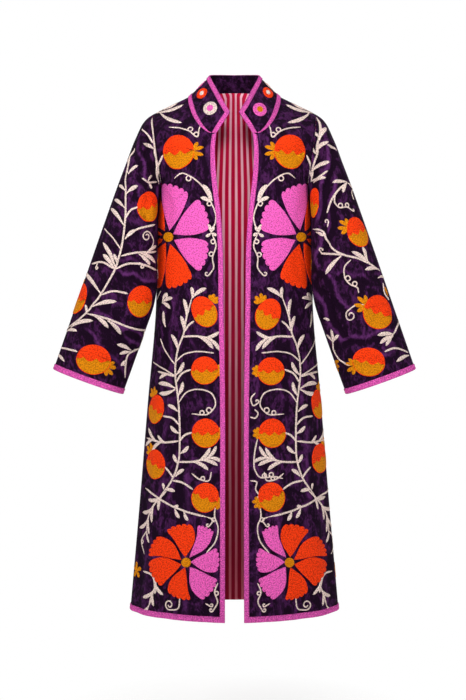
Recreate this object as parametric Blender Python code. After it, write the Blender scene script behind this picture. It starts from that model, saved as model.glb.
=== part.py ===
"""Long embroidered velvet coat, standing as it is worn: an open front, a stand collar that leans in,
straight sleeves and a skirt that widens to the hem.

Metres, +Z up. The front faces -Y, the wearer's left is +X. The origin lies at the middle of the neck,
level with the points where the shoulder seams meet the collar, which is where the wearer carries the coat.
Every cloth piece is a wall between two copies of one surface. The body's surface is a set of rows, each a
curve from an inner edge (front edge, centre back or neckline) to an outer edge (side seam or armhole).
"""

import bmesh
import bpy
import numpy as np

# Cloth and braid thicknesses, and the gap that keeps neighbouring pieces apart.
CLOTH = 0.0020
LINING = 0.0010
BRAID = 0.0016
GAP = 0.0003

# Braid widths on the front edge and collar, and on the hem and cuffs.
EDGE_BRAID = 0.011
HEM_BRAID = 0.013

# Levels and rises.
HEM_Z = -1.183
HEM_SIDE_RISE = 0.006
ARMPIT_Z = -0.215
NECK_FRONT_Z = -0.0997

# How many cells each piece has.
SKIRT_CELLS = 15
CHEST_CELLS = 5
FRONT_NECK_CELLS = 7
BACK_CELLS = 7
BACK_NECK_CELLS = 5
FRONT_COLUMNS = 12
BACK_COLUMNS = 11
SLEEVE_COLUMNS = 30
COLLAR_ROWS = 3

# Share of the armhole's height at which the neckline starts, in front and at the back.
FRONT_NECK_AT = 0.42
BACK_NECK_AT = 0.72

# Handle of a curve that stands for a quarter of an ellipse, and of the boxier quarter at the armpit,
# with the levels over which one becomes the other.
QUARTER = 0.5523
BOXY_QUARTER = 0.72
BOXY_FADE = 0.22
# Levels over which a row's end turns from the side seam's direction to the armhole's; how far it bulges
# there; and the levels over which it goes straight, up to the shoulder seam.
ARMHOLE_TURN = 0.45
CHEST_BULGE = 0.008
SHOULDER_FADE = 0.15
# How many points a row's curve is measured on.
CURVE_POINTS = 61

# Height; half width at the side seam.
SIDE_SEAM = (
    (-1.183, 0.2400),
    (-0.920, 0.2170),
    (-0.698, 0.1990),
    (-0.490, 0.1810),
    (-0.390, 0.1780),
    (-0.300, 0.1755),
    (-0.250, 0.1710),
    (-0.215, 0.1680),
)
# Height; distance of the front edge from the middle; depth.
FRONT_EDGE = (
    (-1.1830, 0.0215, -0.1240),
    (-0.9400, 0.0210, -0.1195),
    (-0.7370, 0.0210, -0.1145),
    (-0.4720, 0.0245, -0.1100),
    (-0.3260, 0.0275, -0.1100),
    (-0.2750, 0.0315, -0.1125),
    (-0.2200, 0.0382, -0.1130),
    (-0.1600, 0.0432, -0.1100),
    (-0.1250, 0.0430, -0.1050),
    (-0.0997, 0.0400, -0.1000),
)
# Height; depth of the centre back.
CENTRE_BACK = (
    (-1.1830, 0.1220),
    (-0.9300, 0.1160),
    (-0.7000, 0.1080),
    (-0.4600, 0.0970),
    (-0.3300, 0.0930),
    (-0.2200, 0.0990),
    (-0.1200, 0.1050),
    (-0.0400, 0.0980),
    (0.0274, 0.0800),
)
# Share of the way from the front edge to the shoulder seam; place.
FRONT_NECK = (
    (0.00, 0.0400, -0.1000, -0.0997),
    (0.10, 0.0545, -0.0990, -0.1000),
    (0.22, 0.0672, -0.0955, -0.0925),
    (0.38, 0.0803, -0.0855, -0.0787),
    (0.58, 0.0940, -0.0610, -0.0540),
    (0.82, 0.1050, -0.0240, -0.0180),
    (1.00, 0.1065, 0.0000, 0.0000),
)
# Share of the way from the centre back to the shoulder seam; place.
BACK_NECK = (
    (0.00, 0.0000, 0.0800, 0.0274),
    (0.35, 0.0510, 0.0705, 0.0235),
    (0.70, 0.0915, 0.0400, 0.0120),
    (1.00, 0.1065, 0.0000, 0.0000),
)
# Share of the way from the armpit to the shoulder seam; place.
FRONT_ARMHOLE = (
    (0.00, 0.1680, 0.0000, -0.2150),
    (0.14, 0.1662, -0.0300, -0.2095),
    (0.30, 0.1690, -0.0510, -0.1840),
    (0.50, 0.1752, -0.0595, -0.1440),
    (0.72, 0.1815, -0.0530, -0.0980),
    (0.88, 0.1860, -0.0310, -0.0600),
    (1.00, 0.1880, 0.0000, -0.0400),
)
BACK_ARMHOLE = (
    (0.00, 0.1680, 0.0000, -0.2150),
    (0.14, 0.1660, 0.0310, -0.2095),
    (0.30, 0.1686, 0.0530, -0.1840),
    (0.50, 0.1745, 0.0615, -0.1440),
    (0.72, 0.1808, 0.0560, -0.1000),
    (0.88, 0.1857, 0.0340, -0.0610),
    (1.00, 0.1880, 0.0000, -0.0400),
)
# Share of the way from the front corner to the centre back; place of the collar's free edge.
COLLAR_TOP = (
    (0.00, 0.0106, -0.1050, -0.0543),
    (0.16, 0.0235, -0.0850, -0.0290),
    (0.33, 0.0385, -0.0520, 0.0045),
    (0.50, 0.0545, -0.0040, 0.0430),
    (0.64, 0.0560, 0.0240, 0.0560),
    (0.80, 0.0385, 0.0440, 0.0615),
    (1.00, 0.0000, 0.0500, 0.0624),
)
# Share of the way from the front corner to the centre back; height of the braid on the neck seam.
NECK_BRAID = ((0.00, 0.0015), (0.05, 0.0020), (0.12, 0.0090), (0.20, 0.0115), (1.00, 0.0115))

# Share of the way down the sleeve; the line over the arm; the line under it; half depth; middle depth.
SLEEVE = (
    (0.000, 0.1880, -0.0400, 0.1680, -0.2150, 0.0610, 0.000),
    (0.020, 0.1985, -0.0480, 0.1695, -0.2225, 0.0620, -0.004),
    (0.050, 0.2098, -0.0625, 0.1710, -0.2350, 0.0640, -0.012),
    (0.100, 0.2254, -0.0985, 0.1728, -0.2550, 0.0660, -0.024),
    (0.200, 0.2460, -0.1574, 0.1736, -0.2944, 0.0665, -0.037),
    (0.300, 0.2665, -0.2159, 0.1738, -0.3341, 0.0660, -0.043),
    (0.420, 0.2912, -0.2861, 0.1740, -0.3817, 0.0650, -0.046),
    (0.560, 0.3200, -0.3680, 0.1752, -0.4375, 0.0635, -0.046),
    (0.660, 0.3405, -0.4265, 0.1835, -0.4840, 0.0620, -0.044),
    (0.760, 0.3611, -0.4850, 0.2037, -0.5425, 0.0605, -0.042),
    (0.880, 0.3857, -0.5552, 0.2285, -0.6122, 0.0590, -0.040),
    (1.000, 0.4104, -0.6254, 0.2540, -0.6820, 0.0575, -0.038),
)
SLEEVE_RINGS = (0, 0.02, 0.05, 0.09, 0.135, 0.185, 0.24, 0.295, 0.35, 0.405, 0.46, 0.515,
                0.57, 0.625, 0.68, 0.735, 0.79, 0.845, 0.90, 0.946, 0.979, 1)
HEAD_FADE = 0.30

# Soft troughs in the skirt: place across from the middle to the side, top, foot, half width, depth.
FRONT_FOLDS = (
    (0.80, -0.44, -1.20, 0.13, 0.0055),
    (0.50, -0.70, -1.20, 0.10, 0.0030),
)
BACK_FOLDS = (
    (0.30, -0.42, -1.20, 0.13, 0.0070),
    (0.68, -0.50, -1.20, 0.12, 0.0060),
)
# Soft troughs in the sleeves: degrees round from the top over the front, share down, at each end;
# half width in metres; depth.
RIGHT_SLEEVE_FOLDS = (
    (62, 0.05, 84, 0.27, 0.034, 0.0050),
    (104, 0.08, 122, 0.26, 0.030, 0.0045),
    (80, 0.56, 128, 0.46, 0.034, 0.0045),
    (66, 0.70, 118, 0.80, 0.036, 0.0035),
    (262, 0.08, 246, 0.30, 0.036, 0.0055),
    (290, 0.48, 236, 0.42, 0.036, 0.0045),
)
LEFT_SLEEVE_FOLDS = (
    (70, 0.06, 100, 0.33, 0.036, 0.0065),
    (128, 0.42, 92, 0.68, 0.036, 0.0065),
    (98, 0.40, 62, 0.54, 0.034, 0.0040),
    (60, 0.76, 108, 0.86, 0.036, 0.0035),
    (262, 0.06, 248, 0.28, 0.036, 0.0055),
    (290, 0.52, 236, 0.44, 0.036, 0.0045),
)

# Colour, roughness and metallic value of each material.
MATERIALS = {
    "velvet": ((0.075, 0.020, 0.105, 1.0), 0.75, 0.0),
    "braid": ((0.820, 0.160, 0.560, 1.0), 0.80, 0.0),
    "lining": ((0.480, 0.020, 0.075, 1.0), 0.85, 0.0),
}


def smooth(table, at):
    """A table's values at given keys: a cubic between its rows, whose slope at a row follows its neighbours."""
    rows = np.array(table, float)
    key, value = rows[:, 0], rows[:, 1:]
    slope = np.gradient(value, key, axis=0)
    at = np.clip(np.atleast_1d(np.asarray(at, float)), key[0], key[-1])
    i = np.clip(np.searchsorted(key, at, side="right") - 1, 0, len(key) - 2)
    step = (key[i + 1] - key[i])[:, None]
    t = (at - key[i])[:, None] / step
    return (
        value[i] * (2 * t**3 - 3 * t**2 + 1)
        + value[i + 1] * (3 * t**2 - 2 * t**3)
        + step * slope[i] * (t**3 - 2 * t**2 + t)
        + step * slope[i + 1] * (t**3 - t**2)
    )


def ease(t):
    """0 before 0, 1 after 1, and a smooth rise between."""
    t = np.clip(t, 0.0, 1.0)
    return t * t * (3 - 2 * t)


def unit(v):
    return v / np.maximum(np.linalg.norm(v, axis=-1, keepdims=True), 1e-12)


def mirrored(points, side):
    """The wearer's left half as it is, or turned over to the right."""
    return points * np.array([side, 1.0, 1.0])


def skirt_height(level, foot):
    """Height of a row below the armpit: level -1 at the foot, 0 at the armpit."""
    return foot + (ARMPIT_Z - foot) * (level + 1)


def front_inner(level):
    """Front edge up to the neck, then the neckline to the shoulder seam."""
    rise = (NECK_FRONT_Z - ARMPIT_Z) * level / FRONT_NECK_AT
    z = np.where(level < 0, skirt_height(level, HEM_Z), ARMPIT_Z + rise)
    edge = np.column_stack([smooth(FRONT_EDGE, z), np.clip(z, HEM_Z, NECK_FRONT_Z)])
    neck = smooth(FRONT_NECK, (level - FRONT_NECK_AT) / (1 - FRONT_NECK_AT))
    return np.where((level <= FRONT_NECK_AT)[:, None], edge, neck)


def back_inner(level):
    """Centre back up to the neck, then the neckline to the shoulder seam."""
    neck_z = CENTRE_BACK[-1][0]
    rise = (neck_z - ARMPIT_Z) * level / BACK_NECK_AT
    z = np.where(level < 0, skirt_height(level, HEM_Z), ARMPIT_Z + rise)
    depth = smooth(CENTRE_BACK, z)[:, 0]
    centre = np.column_stack([0 * z, depth, np.clip(z, HEM_Z, neck_z)])
    neck = smooth(BACK_NECK, (level - BACK_NECK_AT) / (1 - BACK_NECK_AT))
    return np.where((level <= BACK_NECK_AT)[:, None], centre, neck)


def outer_edge(level, armhole):
    """Side seam up to the armpit, then the armhole to the shoulder seam."""
    z = skirt_height(np.minimum(level, 0), HEM_Z + HEM_SIDE_RISE)
    seam = np.column_stack([smooth(SIDE_SEAM, z)[:, 0], 0 * z, z])
    return np.where((level <= 0)[:, None], seam, smooth(armhole, level))


def panel_rows(level, inner, outer, first, columns):
    """One curve for each level from the inner to the outer edge. It leaves the inner edge sideways and
    reaches the side seam straight back, as a quarter of an ellipse does, and reaches the armhole
    along the chord. The first cell is as wide as given, and the rest share what is left evenly."""
    t = np.linspace(0, 1, CURVE_POINTS)[None, :, None]
    turn = ease(level / ARMHOLE_TURN)[:, None]
    handle = (QUARTER + (BOXY_QUARTER - QUARTER) * ease(level / BOXY_FADE + 1))[:, None]
    reach = (outer - inner) * np.array([1, 0, 1]) * handle
    back = (inner - outer) * np.array([0, 1, 0]) * handle
    chord = (inner - outer) / 3 + np.sign(inner[:, 1:2]) * np.array([0, CHEST_BULGE, 0])
    top = ease((level - 1) / SHOULDER_FADE + 1)[:, None]
    chord = chord * (1 - top) + (inner - outer) / 3 * top
    p0, p1 = inner[:, None], (inner + reach)[:, None]
    p2, p3 = (outer + back * (1 - turn) + chord * turn)[:, None], outer[:, None]
    fine = (1 - t) ** 3 * p0 + 3 * (1 - t) ** 2 * t * p1 + 3 * (1 - t) * t**2 * p2 + t**3 * p3
    rows = []
    for line in fine:
        run = np.concatenate([[0], np.cumsum(np.linalg.norm(np.diff(line, axis=0), axis=1))])
        if first:
            at = np.concatenate([[0], np.linspace(first, run[-1], columns)])
        else:
            at = np.linspace(0, run[-1], columns + 1)
        rows.append(np.column_stack([np.interp(at, run, line[:, k]) for k in range(3)]))
    return np.array(rows)


def grid_normals(points, outwards, around=False):
    """The direction each point of a grid faces, turned to the side that outwards gives."""
    down = np.gradient(points, axis=0)
    if around:
        across = np.roll(points, -1, axis=1) - np.roll(points, 1, axis=1)
    else:
        across = np.gradient(points, axis=1)
    n = unit(np.cross(down, across))
    return n * np.where((n * outwards).sum(-1, keepdims=True) < 0, -1, 1)


def trough(distance, half_width):
    """A soft valley across a distance: 1 in its middle and 0 from half_width out."""
    return np.cos(np.clip(distance / half_width, -1, 1) * np.pi / 2) ** 2


def skirt_folds(points, normals, folds):
    """The rows' points pushed in along each skirt fold, more towards the hem."""
    across = np.linspace(0, 1, points.shape[1])[None, :]
    z = points[..., 2]
    depth = np.zeros_like(z)
    for place, top, foot, half_width, deep in folds:
        depth += deep * trough(across - place, half_width) * ease((top - z) / (top - foot) * 1.3)
    return points - normals * depth[..., None]


def keep_to(vectors, away):
    """The vectors without what would carry them across a seam: away points from the seam into the piece."""
    across = (vectors * away).sum(-1, keepdims=True)
    return vectors - away * np.minimum(across, 0)


def cells(rows, columns, wrap=False):
    """The four corners of each cell of a grid, as indices into its flattened points."""
    width = columns if wrap else columns + 1
    r, c = np.meshgrid(np.arange(rows), np.arange(columns), indexing="ij")
    a, b = r * width + c, r * width + (c + 1) % width
    return np.stack([a, b, b + width, a + width], axis=-1)


def material(name):
    found = bpy.data.materials.get(name)
    if found:
        return found
    made = bpy.data.materials.new(name)
    made.use_nodes = True
    shader = made.node_tree.nodes["Principled BSDF"]
    colour, rough, metal = MATERIALS[name]
    shader.inputs["Base Color"].default_value = colour
    shader.inputs["Roughness"].default_value = rough
    shader.inputs["Metallic"].default_value = metal
    made.diffuse_color = colour
    return made


def halves(surface, faces):
    """Each four-sided cell as two triangles, cut along its shorter diagonal on the given surface.
    Layers that lie close together take the same cuts, so they stay the same distance apart."""
    faces = np.asarray(faces).reshape(-1, 4)
    corner = surface.reshape(-1, 3)[faces]
    short = np.linalg.norm(corner[:, 0] - corner[:, 2], axis=1) <= np.linalg.norm(corner[:, 1] - corner[:, 3], axis=1)
    one = np.where(short[:, None], faces[:, [0, 1, 2]], faces[:, [0, 1, 3]])
    two = np.where(short[:, None], faces[:, [0, 2, 3]], faces[:, [1, 2, 3]])
    return np.concatenate([one, two])


def wall(name, finish, near, far, faces, collection):
    """A closed wall between two copies of one surface: its triangles on each, and a rim on its open edges."""
    used, index = np.unique(faces, return_inverse=True)
    faces = index.reshape(-1, 3)
    count = len(used)
    points = np.concatenate([near.reshape(-1, 3)[used], far.reshape(-1, 3)[used]])
    edges = np.concatenate([faces[:, [k, (k + 1) % 3]] for k in range(3)])
    _, first, uses = np.unique(np.sort(edges, axis=1), axis=0, return_index=True, return_counts=True)
    rim = []
    for a, b in edges[first[uses == 1]]:
        rim += [(b, a, a + count), (b, a + count, b + count)]
    skin = [tuple(f) for f in faces] + [tuple(f[::-1] + count) for f in faces]
    mesh = bpy.data.meshes.new(name)
    mesh.from_pydata(points.tolist(), [], [tuple(int(i) for i in f) for f in skin + rim])
    work = bmesh.new()
    work.from_mesh(mesh)
    bmesh.ops.recalc_face_normals(work, faces=work.faces)
    work.to_mesh(mesh)
    work.free()
    mesh.shade_smooth()
    mesh.set_sharp_from_angle(angle=np.radians(50))
    mesh.materials.append(material(finish))
    made = bpy.data.objects.new(name, mesh)
    collection.objects.link(made)
    return made


def skirt_levels():
    """Row levels from the hem to the armpit. The first row is the hem braid's."""
    braid = HEM_BRAID / (ARMPIT_Z - HEM_Z)
    return np.concatenate([[-1], np.linspace(-1 + braid, 0, SKIRT_CELLS)])


def front_levels():
    chest = np.linspace(0, FRONT_NECK_AT, CHEST_CELLS + 1)[1:]
    neck = np.linspace(FRONT_NECK_AT, 1, FRONT_NECK_CELLS + 1)[1:]
    return np.concatenate([skirt_levels(), chest, neck])


def back_levels():
    blade = np.linspace(0, BACK_NECK_AT, BACK_CELLS + 1)[1:]
    neck = np.linspace(BACK_NECK_AT, 1, BACK_NECK_CELLS + 1)[1:]
    return np.concatenate([skirt_levels(), blade, neck])


def front_surface():
    """Outer surface of the wearer's left front, with its directions and the vectors through its wall."""
    level = front_levels()
    points = panel_rows(level, front_inner(level), outer_edge(level, FRONT_ARMHOLE), EDGE_BRAID, FRONT_COLUMNS)
    hint = points * np.array([1, 1, 0]) + np.array([0, -0.02, 0.05])
    points = skirt_folds(points, grid_normals(points, hint), FRONT_FOLDS)
    points[..., 1] = np.minimum(points[..., 1], -GAP / 2)
    normals = grid_normals(points, hint)
    inwards = -normals
    seam = points[..., 1] > -GAP
    inwards[seam] = keep_to(inwards[seam], np.array([0.0, -1.0, 0.0]))
    armhole = level > 0
    inwards[armhole, -1] = keep_to(inwards[armhole, -1], np.array([-1.0, 0.0, 0.0]))
    return level, points, normals, inwards


def back_surface():
    """Outer surface of the back's left half, with its directions and the vectors through its wall."""
    level = back_levels()
    points = panel_rows(level, back_inner(level), outer_edge(level, BACK_ARMHOLE), 0, BACK_COLUMNS)
    hint = points * np.array([1, 1, 0]) + np.array([0, 0.02, 0.05])
    points = skirt_folds(points, grid_normals(points, hint), BACK_FOLDS)
    points[..., 1] = np.maximum(points[..., 1], GAP / 2)
    normals = grid_normals(points, hint)
    middle = level <= BACK_NECK_AT
    normals[middle, 0] = unit(normals[middle, 0] * np.array([0, 1, 1]))
    inwards = -normals
    seam = points[..., 1] < GAP
    inwards[seam] = keep_to(inwards[seam], np.array([0.0, 1.0, 0.0]))
    armhole = level > 0
    inwards[armhole, -1] = keep_to(inwards[armhole, -1], np.array([-1.0, 0.0, 0.0]))
    return level, points, normals, inwards


def neck_seam(front, back):
    """The seam between body and collar from the front corner to the centre back: its points on the two
    necklines, the way the collar's wall rises from them, and the way from the seam into the collar."""
    level, points, _, _ = front
    rows = level >= FRONT_NECK_AT - 1e-9
    base, body = points[rows, 0], points[rows, 1] - points[rows, 0]
    level, points, _, _ = back
    rows = level >= BACK_NECK_AT - 1e-9
    back_base, back_body = points[rows, 0][::-1], (points[rows, 1] - points[rows, 0])[::-1]
    back_body[-1] = points[np.flatnonzero(rows)[0] - 1, 0] - back_base[-1]
    base = np.concatenate([base[:-1], (base[-1:] + back_base[:1]) / 2, back_base[1:]])
    body = np.concatenate([body[:-1], (body[-1:] + back_body[:1]) / 2, back_body[1:]])
    run = np.concatenate([[0], np.cumsum(np.linalg.norm(np.diff(base, axis=0), axis=1))])
    share = run / run[-1]
    top = smooth(COLLAR_TOP, share)
    rise = unit(top - base)
    return base, top, rise, unit(rise - unit(body)), share


def fit_neck(front, back, away):
    """The body's walls and braid kept on their own side of the neck seam."""
    corner = int(np.argmin(np.abs(front[0] - FRONT_NECK_AT)))
    count = len(front[0]) - corner
    for vectors in front[2:]:
        vectors[corner:, 0] = keep_to(vectors[corner:, 0], -away[:count])
    corner = int(np.argmin(np.abs(back[0] - BACK_NECK_AT)))
    for vectors in back[2:]:
        vectors[corner:, 0] = keep_to(vectors[corner:, 0], -away[count - 1:][::-1])


def collar_surface(front, back):
    """Outer surface of the whole collar: rows from its base to its free edge, columns round the neck."""
    base, top, rise, away, share = neck_seam(front, back)
    fit_neck(front, back, away)
    base = base + away * GAP
    height = np.linalg.norm(top - base, axis=1)
    low = smooth(NECK_BRAID, share)[:, 0]
    middle = [low + (height - EDGE_BRAID - low) * k / COLLAR_ROWS for k in range(COLLAR_ROWS + 1)]
    steps = np.array([0 * height, *middle, height])
    points = base[None] + rise[None] * steps[..., None]
    edge = collar_front_columns(points)
    points = np.concatenate([points[:, :1], edge, points[:, 1:]], axis=1)
    away = np.concatenate([away[:1], away[:1], away[:1], away[1:]])
    points = np.concatenate([mirrored(points, -1), points[:, -2::-1]], axis=1)
    away = np.concatenate([mirrored(away, -1), away[-2::-1]])
    hint = points * np.array([1, 1, 0]) + np.array([0, -0.01, 0.03])
    normals = grid_normals(points, hint)
    inwards = -normals
    inwards[0] = keep_to(inwards[0], away)
    normals[0] = keep_to(normals[0], away)
    return points, normals, inwards


def collar_front_columns(points):
    """Two columns near the collar's front edge: where its braid ends, and a hair further on."""
    step = unit(points[:, 1] - points[:, 0])
    width = np.minimum(EDGE_BRAID, 0.55 * np.linalg.norm(points[:, 1] - points[:, 0], axis=1))[:, None]
    return np.stack([points[:, 0] + step * width, points[:, 0] + step * (width + 2 * GAP)], axis=1)


def armhole_ring(angles):
    """Places on the armhole's edge: 0 at the shoulder seam, a half turn at the armpit, front first."""
    share = 1 - np.minimum(angles, 2 * np.pi - angles) / np.pi
    front, back = smooth(FRONT_ARMHOLE, share), smooth(BACK_ARMHOLE, share)
    return np.where((angles <= np.pi)[:, None], front, back)


def sleeve_surface(folds):
    """Outer surface of the left sleeve: rings from the armhole to the cuff. A ring is an ellipse between the
    line over the arm and the line under it, and the first rings take over the armhole's own outline."""
    angles = np.linspace(0, 2 * np.pi, SLEEVE_COLUMNS, endpoint=False)
    share = np.array(SLEEVE_RINGS)
    row = smooth(SLEEVE, share)
    over = np.column_stack([row[:, 0], 0 * share, row[:, 1]])
    under = np.column_stack([row[:, 2], 0 * share, row[:, 3]])
    middle, half = (over + under) / 2, (over - under) / 2
    ring = armhole_ring(angles) - middle[0]
    along = (ring * half[0]).sum(-1) / (half[0] ** 2).sum()
    aside = ring[:, 1] / row[0, 4]
    proud = ring - along[:, None] * half[0] - ring[:, 1:2] * np.array([0, 1, 0])
    fade = ease(share / HEAD_FADE)[:, None]
    up = along[None] * (1 - fade) + np.cos(angles)[None] * fade
    out = aside[None] * (1 - fade) - np.sin(angles)[None] * fade
    points = middle[:, None] + half[:, None] * up[..., None]
    points[..., 1] += row[:, 5:6] + row[:, 4:5] * out
    points += proud[None] * (1 - fade)[..., None]
    points[0, :, 0] += GAP
    normals = grid_normals(points, points - middle[:, None], around=True)
    for start, start_at, end, end_at, half_width, deep in folds:
        t = np.clip((share - min(start_at, end_at)) / abs(end_at - start_at), 0, 1)
        t = t if start_at < end_at else 1 - t
        centre = np.radians(start + (end - start) * t)
        radius = np.linalg.norm(half, axis=1)
        off_ring = np.maximum(np.maximum(min(start_at, end_at) - share, share - max(start_at, end_at)), 0)
        turn = (angles[None] - centre[:, None] + np.pi) % (2 * np.pi) - np.pi
        distance = np.hypot(turn * radius[:, None], (off_ring * 0.55)[:, None])
        points = points - normals * (deep * trough(distance, half_width))[..., None]
    points[0, :, 0] = armhole_ring(angles)[:, 0] + GAP
    normals = grid_normals(points, points - middle[:, None], around=True)
    inwards = -normals
    inwards[0] = keep_to(inwards[0], np.array([1.0, 0.0, 0.0]))
    return points, normals, inwards


def lifted(points, normals, height):
    return points + normals * height


def add_front(front, side, name, collection):
    """One front and the braid on its front edge and hem."""
    level, points, normals, inwards = front
    points, normals, inwards = (mirrored(v, side) for v in (points, normals, inwards))
    faces = cells(len(level) - 1, FRONT_COLUMNS)
    wall(f"front_{name}", "velvet", points, points + inwards * CLOTH, halves(points, faces), collection)
    neck_row = int(np.argmin(np.abs(level - FRONT_NECK_AT)))
    edged = np.zeros(faces.shape[:2], bool)
    edged[:neck_row, 0] = True
    edged[0] = True
    low, high = lifted(points, normals, GAP), lifted(points, normals, GAP + BRAID)
    wall(f"braid_front_{name}", "braid", low, high, halves(points, faces[edged]), collection)


def add_back(back, collection):
    """The back in one piece, the lining that shows inside it, and the braid on its hem."""
    level, points, normals, inwards = back
    rows, size = len(level) - 1, points.shape[0] * points.shape[1]
    left = cells(rows, BACK_COLUMNS)
    right = left + size
    neck_row = int(np.argmin(np.abs(level - BACK_NECK_AT)))
    width = BACK_COLUMNS + 1
    for row in range(neck_row + 1):
        right[right == size + row * width] = row * width
    faces = np.concatenate([left, right])

    def both(values):
        return np.concatenate([values.reshape(-1, 3), mirrored(values, -1).reshape(-1, 3)])

    outer, through, facing = both(points), both(inwards), both(normals)
    skin = halves(outer, faces)
    wall("back", "velvet", outer, outer + through * CLOTH, skin, collection)
    near, far = CLOTH + GAP, CLOTH + GAP + LINING
    wall("back_lining", "lining", outer + through * near, outer + through * far, skin, collection)
    hem = np.concatenate([left[0], right[0]])
    low, high = lifted(outer, facing, GAP), lifted(outer, facing, GAP + BRAID)
    wall("braid_hem_back", "braid", low, high, halves(outer, hem), collection)


def add_collar(surface, collection):
    """The stand collar, the braid on its front and free edges, and the braid on the neck seam."""
    points, normals, inwards = surface
    rows, columns = points.shape[0] - 1, points.shape[1] - 1
    faces = cells(rows, columns)
    wall("collar", "velvet", points, points + inwards * CLOTH, halves(points, faces), collection)
    low, high = lifted(points, normals, GAP), lifted(points, normals, GAP + BRAID)
    edged = np.zeros(faces.shape[:2], bool)
    edged[:, [0, -1]] = True
    edged[-1] = True
    wall("braid_collar", "braid", low, high, halves(points, faces[edged]), collection)
    wall("braid_neck", "braid", low, high, halves(points, faces[0, 2:-2]), collection)


def add_sleeve(side, name, folds, collection):
    """One sleeve and the braid round its cuff."""
    points, normals, inwards = (mirrored(v, side) for v in sleeve_surface(folds))
    faces = cells(points.shape[0] - 1, SLEEVE_COLUMNS, wrap=True)
    wall(f"sleeve_{name}", "velvet", points, points + inwards * CLOTH, halves(points, faces), collection)
    low, high = lifted(points, normals, GAP), lifted(points, normals, GAP + BRAID)
    wall(f"braid_cuff_{name}", "braid", low, high, halves(points, faces[-1]), collection)


def main():
    for old in list(bpy.data.objects):
        bpy.data.objects.remove(old)
    coat = bpy.data.collections.new("embroidered_velvet_coat")
    bpy.context.scene.collection.children.link(coat)
    front, back = front_surface(), back_surface()
    collar = collar_surface(front, back)
    for side, name in ((-1, "right"), (1, "left")):
        add_front(front, side, name, coat)
    add_back(back, coat)
    add_collar(collar, coat)
    add_sleeve(-1, "right", RIGHT_SLEEVE_FOLDS, coat)
    add_sleeve(1, "left", LEFT_SLEEVE_FOLDS, coat)


main()
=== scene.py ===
# %% [markdown]
# # A long embroidered velvet coat
# The real coat is dark velvet cut into two fronts, a back, two sleeves and a stand collar. It is edged with a
# looped braid, lined with striped cotton, and covered with chain-stitch flowers, pomegranates and vines.
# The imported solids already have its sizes. This lesson dresses them: each panel of cloth is made again on the
# same surface with a finer mesh and its creases, and the embroidery is laid on it as thin raised pieces.
# The front faces -Y, the wearer's left is +X, and lengths are in metres.

import bmesh
import bpy
import numpy as np
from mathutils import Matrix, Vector


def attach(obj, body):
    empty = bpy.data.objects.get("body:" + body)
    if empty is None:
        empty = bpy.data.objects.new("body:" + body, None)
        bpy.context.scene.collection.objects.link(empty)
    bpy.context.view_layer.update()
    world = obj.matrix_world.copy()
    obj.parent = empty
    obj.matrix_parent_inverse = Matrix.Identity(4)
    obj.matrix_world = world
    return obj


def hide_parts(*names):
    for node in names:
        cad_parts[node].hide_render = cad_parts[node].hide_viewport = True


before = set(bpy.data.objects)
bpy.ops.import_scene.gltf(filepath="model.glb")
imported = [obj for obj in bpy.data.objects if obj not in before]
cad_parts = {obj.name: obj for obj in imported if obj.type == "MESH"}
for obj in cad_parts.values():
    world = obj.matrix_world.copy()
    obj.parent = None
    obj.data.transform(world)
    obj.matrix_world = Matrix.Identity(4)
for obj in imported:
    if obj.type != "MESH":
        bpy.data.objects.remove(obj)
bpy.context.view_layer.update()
print("solids:", sorted(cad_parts))

# %% [markdown]
# ## Sizes
# A garment is drafted from a few measures: how far the side seam, the front edge and the centre back are from
# the middle at each height, and the lines of the neck and the armhole. Short tables hold them, and a smooth
# curve runs through each table, so the cloth has no corners where the tables have rows.

# %% Measures of the body
CLOTH = 0.002
LINING = 0.001
GAP = 0.0003
EDGE_BRAID = 0.011
HEM_BRAID = 0.013
HEM_Z = -1.183
HEM_SIDE_RISE = 0.006
ARMPIT_Z = -0.215
NECK_FRONT_Z = -0.0997
FRONT_NECK_AT = 0.42
BACK_NECK_AT = 0.72
QUARTER = 0.5523
BOXY_QUARTER = 0.72
BOXY_FADE = 0.22
ARMHOLE_TURN = 0.45
CHEST_BULGE = 0.008
SHOULDER_FADE = 0.15
CURVE_POINTS = 181
HEAD_FADE = 0.3
# The eye that the picture was taken with: its distance and height, its focal length and the height of the
# picture in spots.
EYE_DISTANCE, EYE_HEIGHT, FOCAL, PICTURE_HIGH = 2.724, -0.5824, 1181.8, 700

# Height; half width at the side seam.
SIDE_SEAM = (
    (-1.183, 0.24), (-0.92, 0.217), (-0.698, 0.199), (-0.49, 0.181), (-0.39, 0.178), (-0.3, 0.1755),
    (-0.25, 0.171), (-0.215, 0.168),
)
# Height; distance of the front edge from the middle; depth.
FRONT_EDGE = (
    (-1.183, 0.0215, -0.124), (-0.94, 0.021, -0.1195), (-0.737, 0.021, -0.1145), (-0.472, 0.0245, -0.11),
    (-0.326, 0.0275, -0.11), (-0.275, 0.0315, -0.1125), (-0.22, 0.0382, -0.113), (-0.16, 0.0432, -0.11),
    (-0.125, 0.043, -0.105), (-0.0997, 0.04, -0.1),
)
# Height; depth of the centre back.
CENTRE_BACK = (
    (-1.183, 0.122), (-0.93, 0.116), (-0.7, 0.108), (-0.46, 0.097), (-0.33, 0.093), (-0.22, 0.099),
    (-0.12, 0.105), (-0.04, 0.098), (0.0274, 0.08),
)
# Share of the way from the front edge to the shoulder seam; place.
FRONT_NECK = (
    (0.0, 0.04, -0.1, -0.0997), (0.1, 0.0545, -0.099, -0.1), (0.22, 0.0672, -0.0955, -0.0925),
    (0.38, 0.0803, -0.0855, -0.0787), (0.58, 0.094, -0.061, -0.054), (0.82, 0.105, -0.024, -0.018),
    (1.0, 0.1065, 0.0, 0.0),
)
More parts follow.
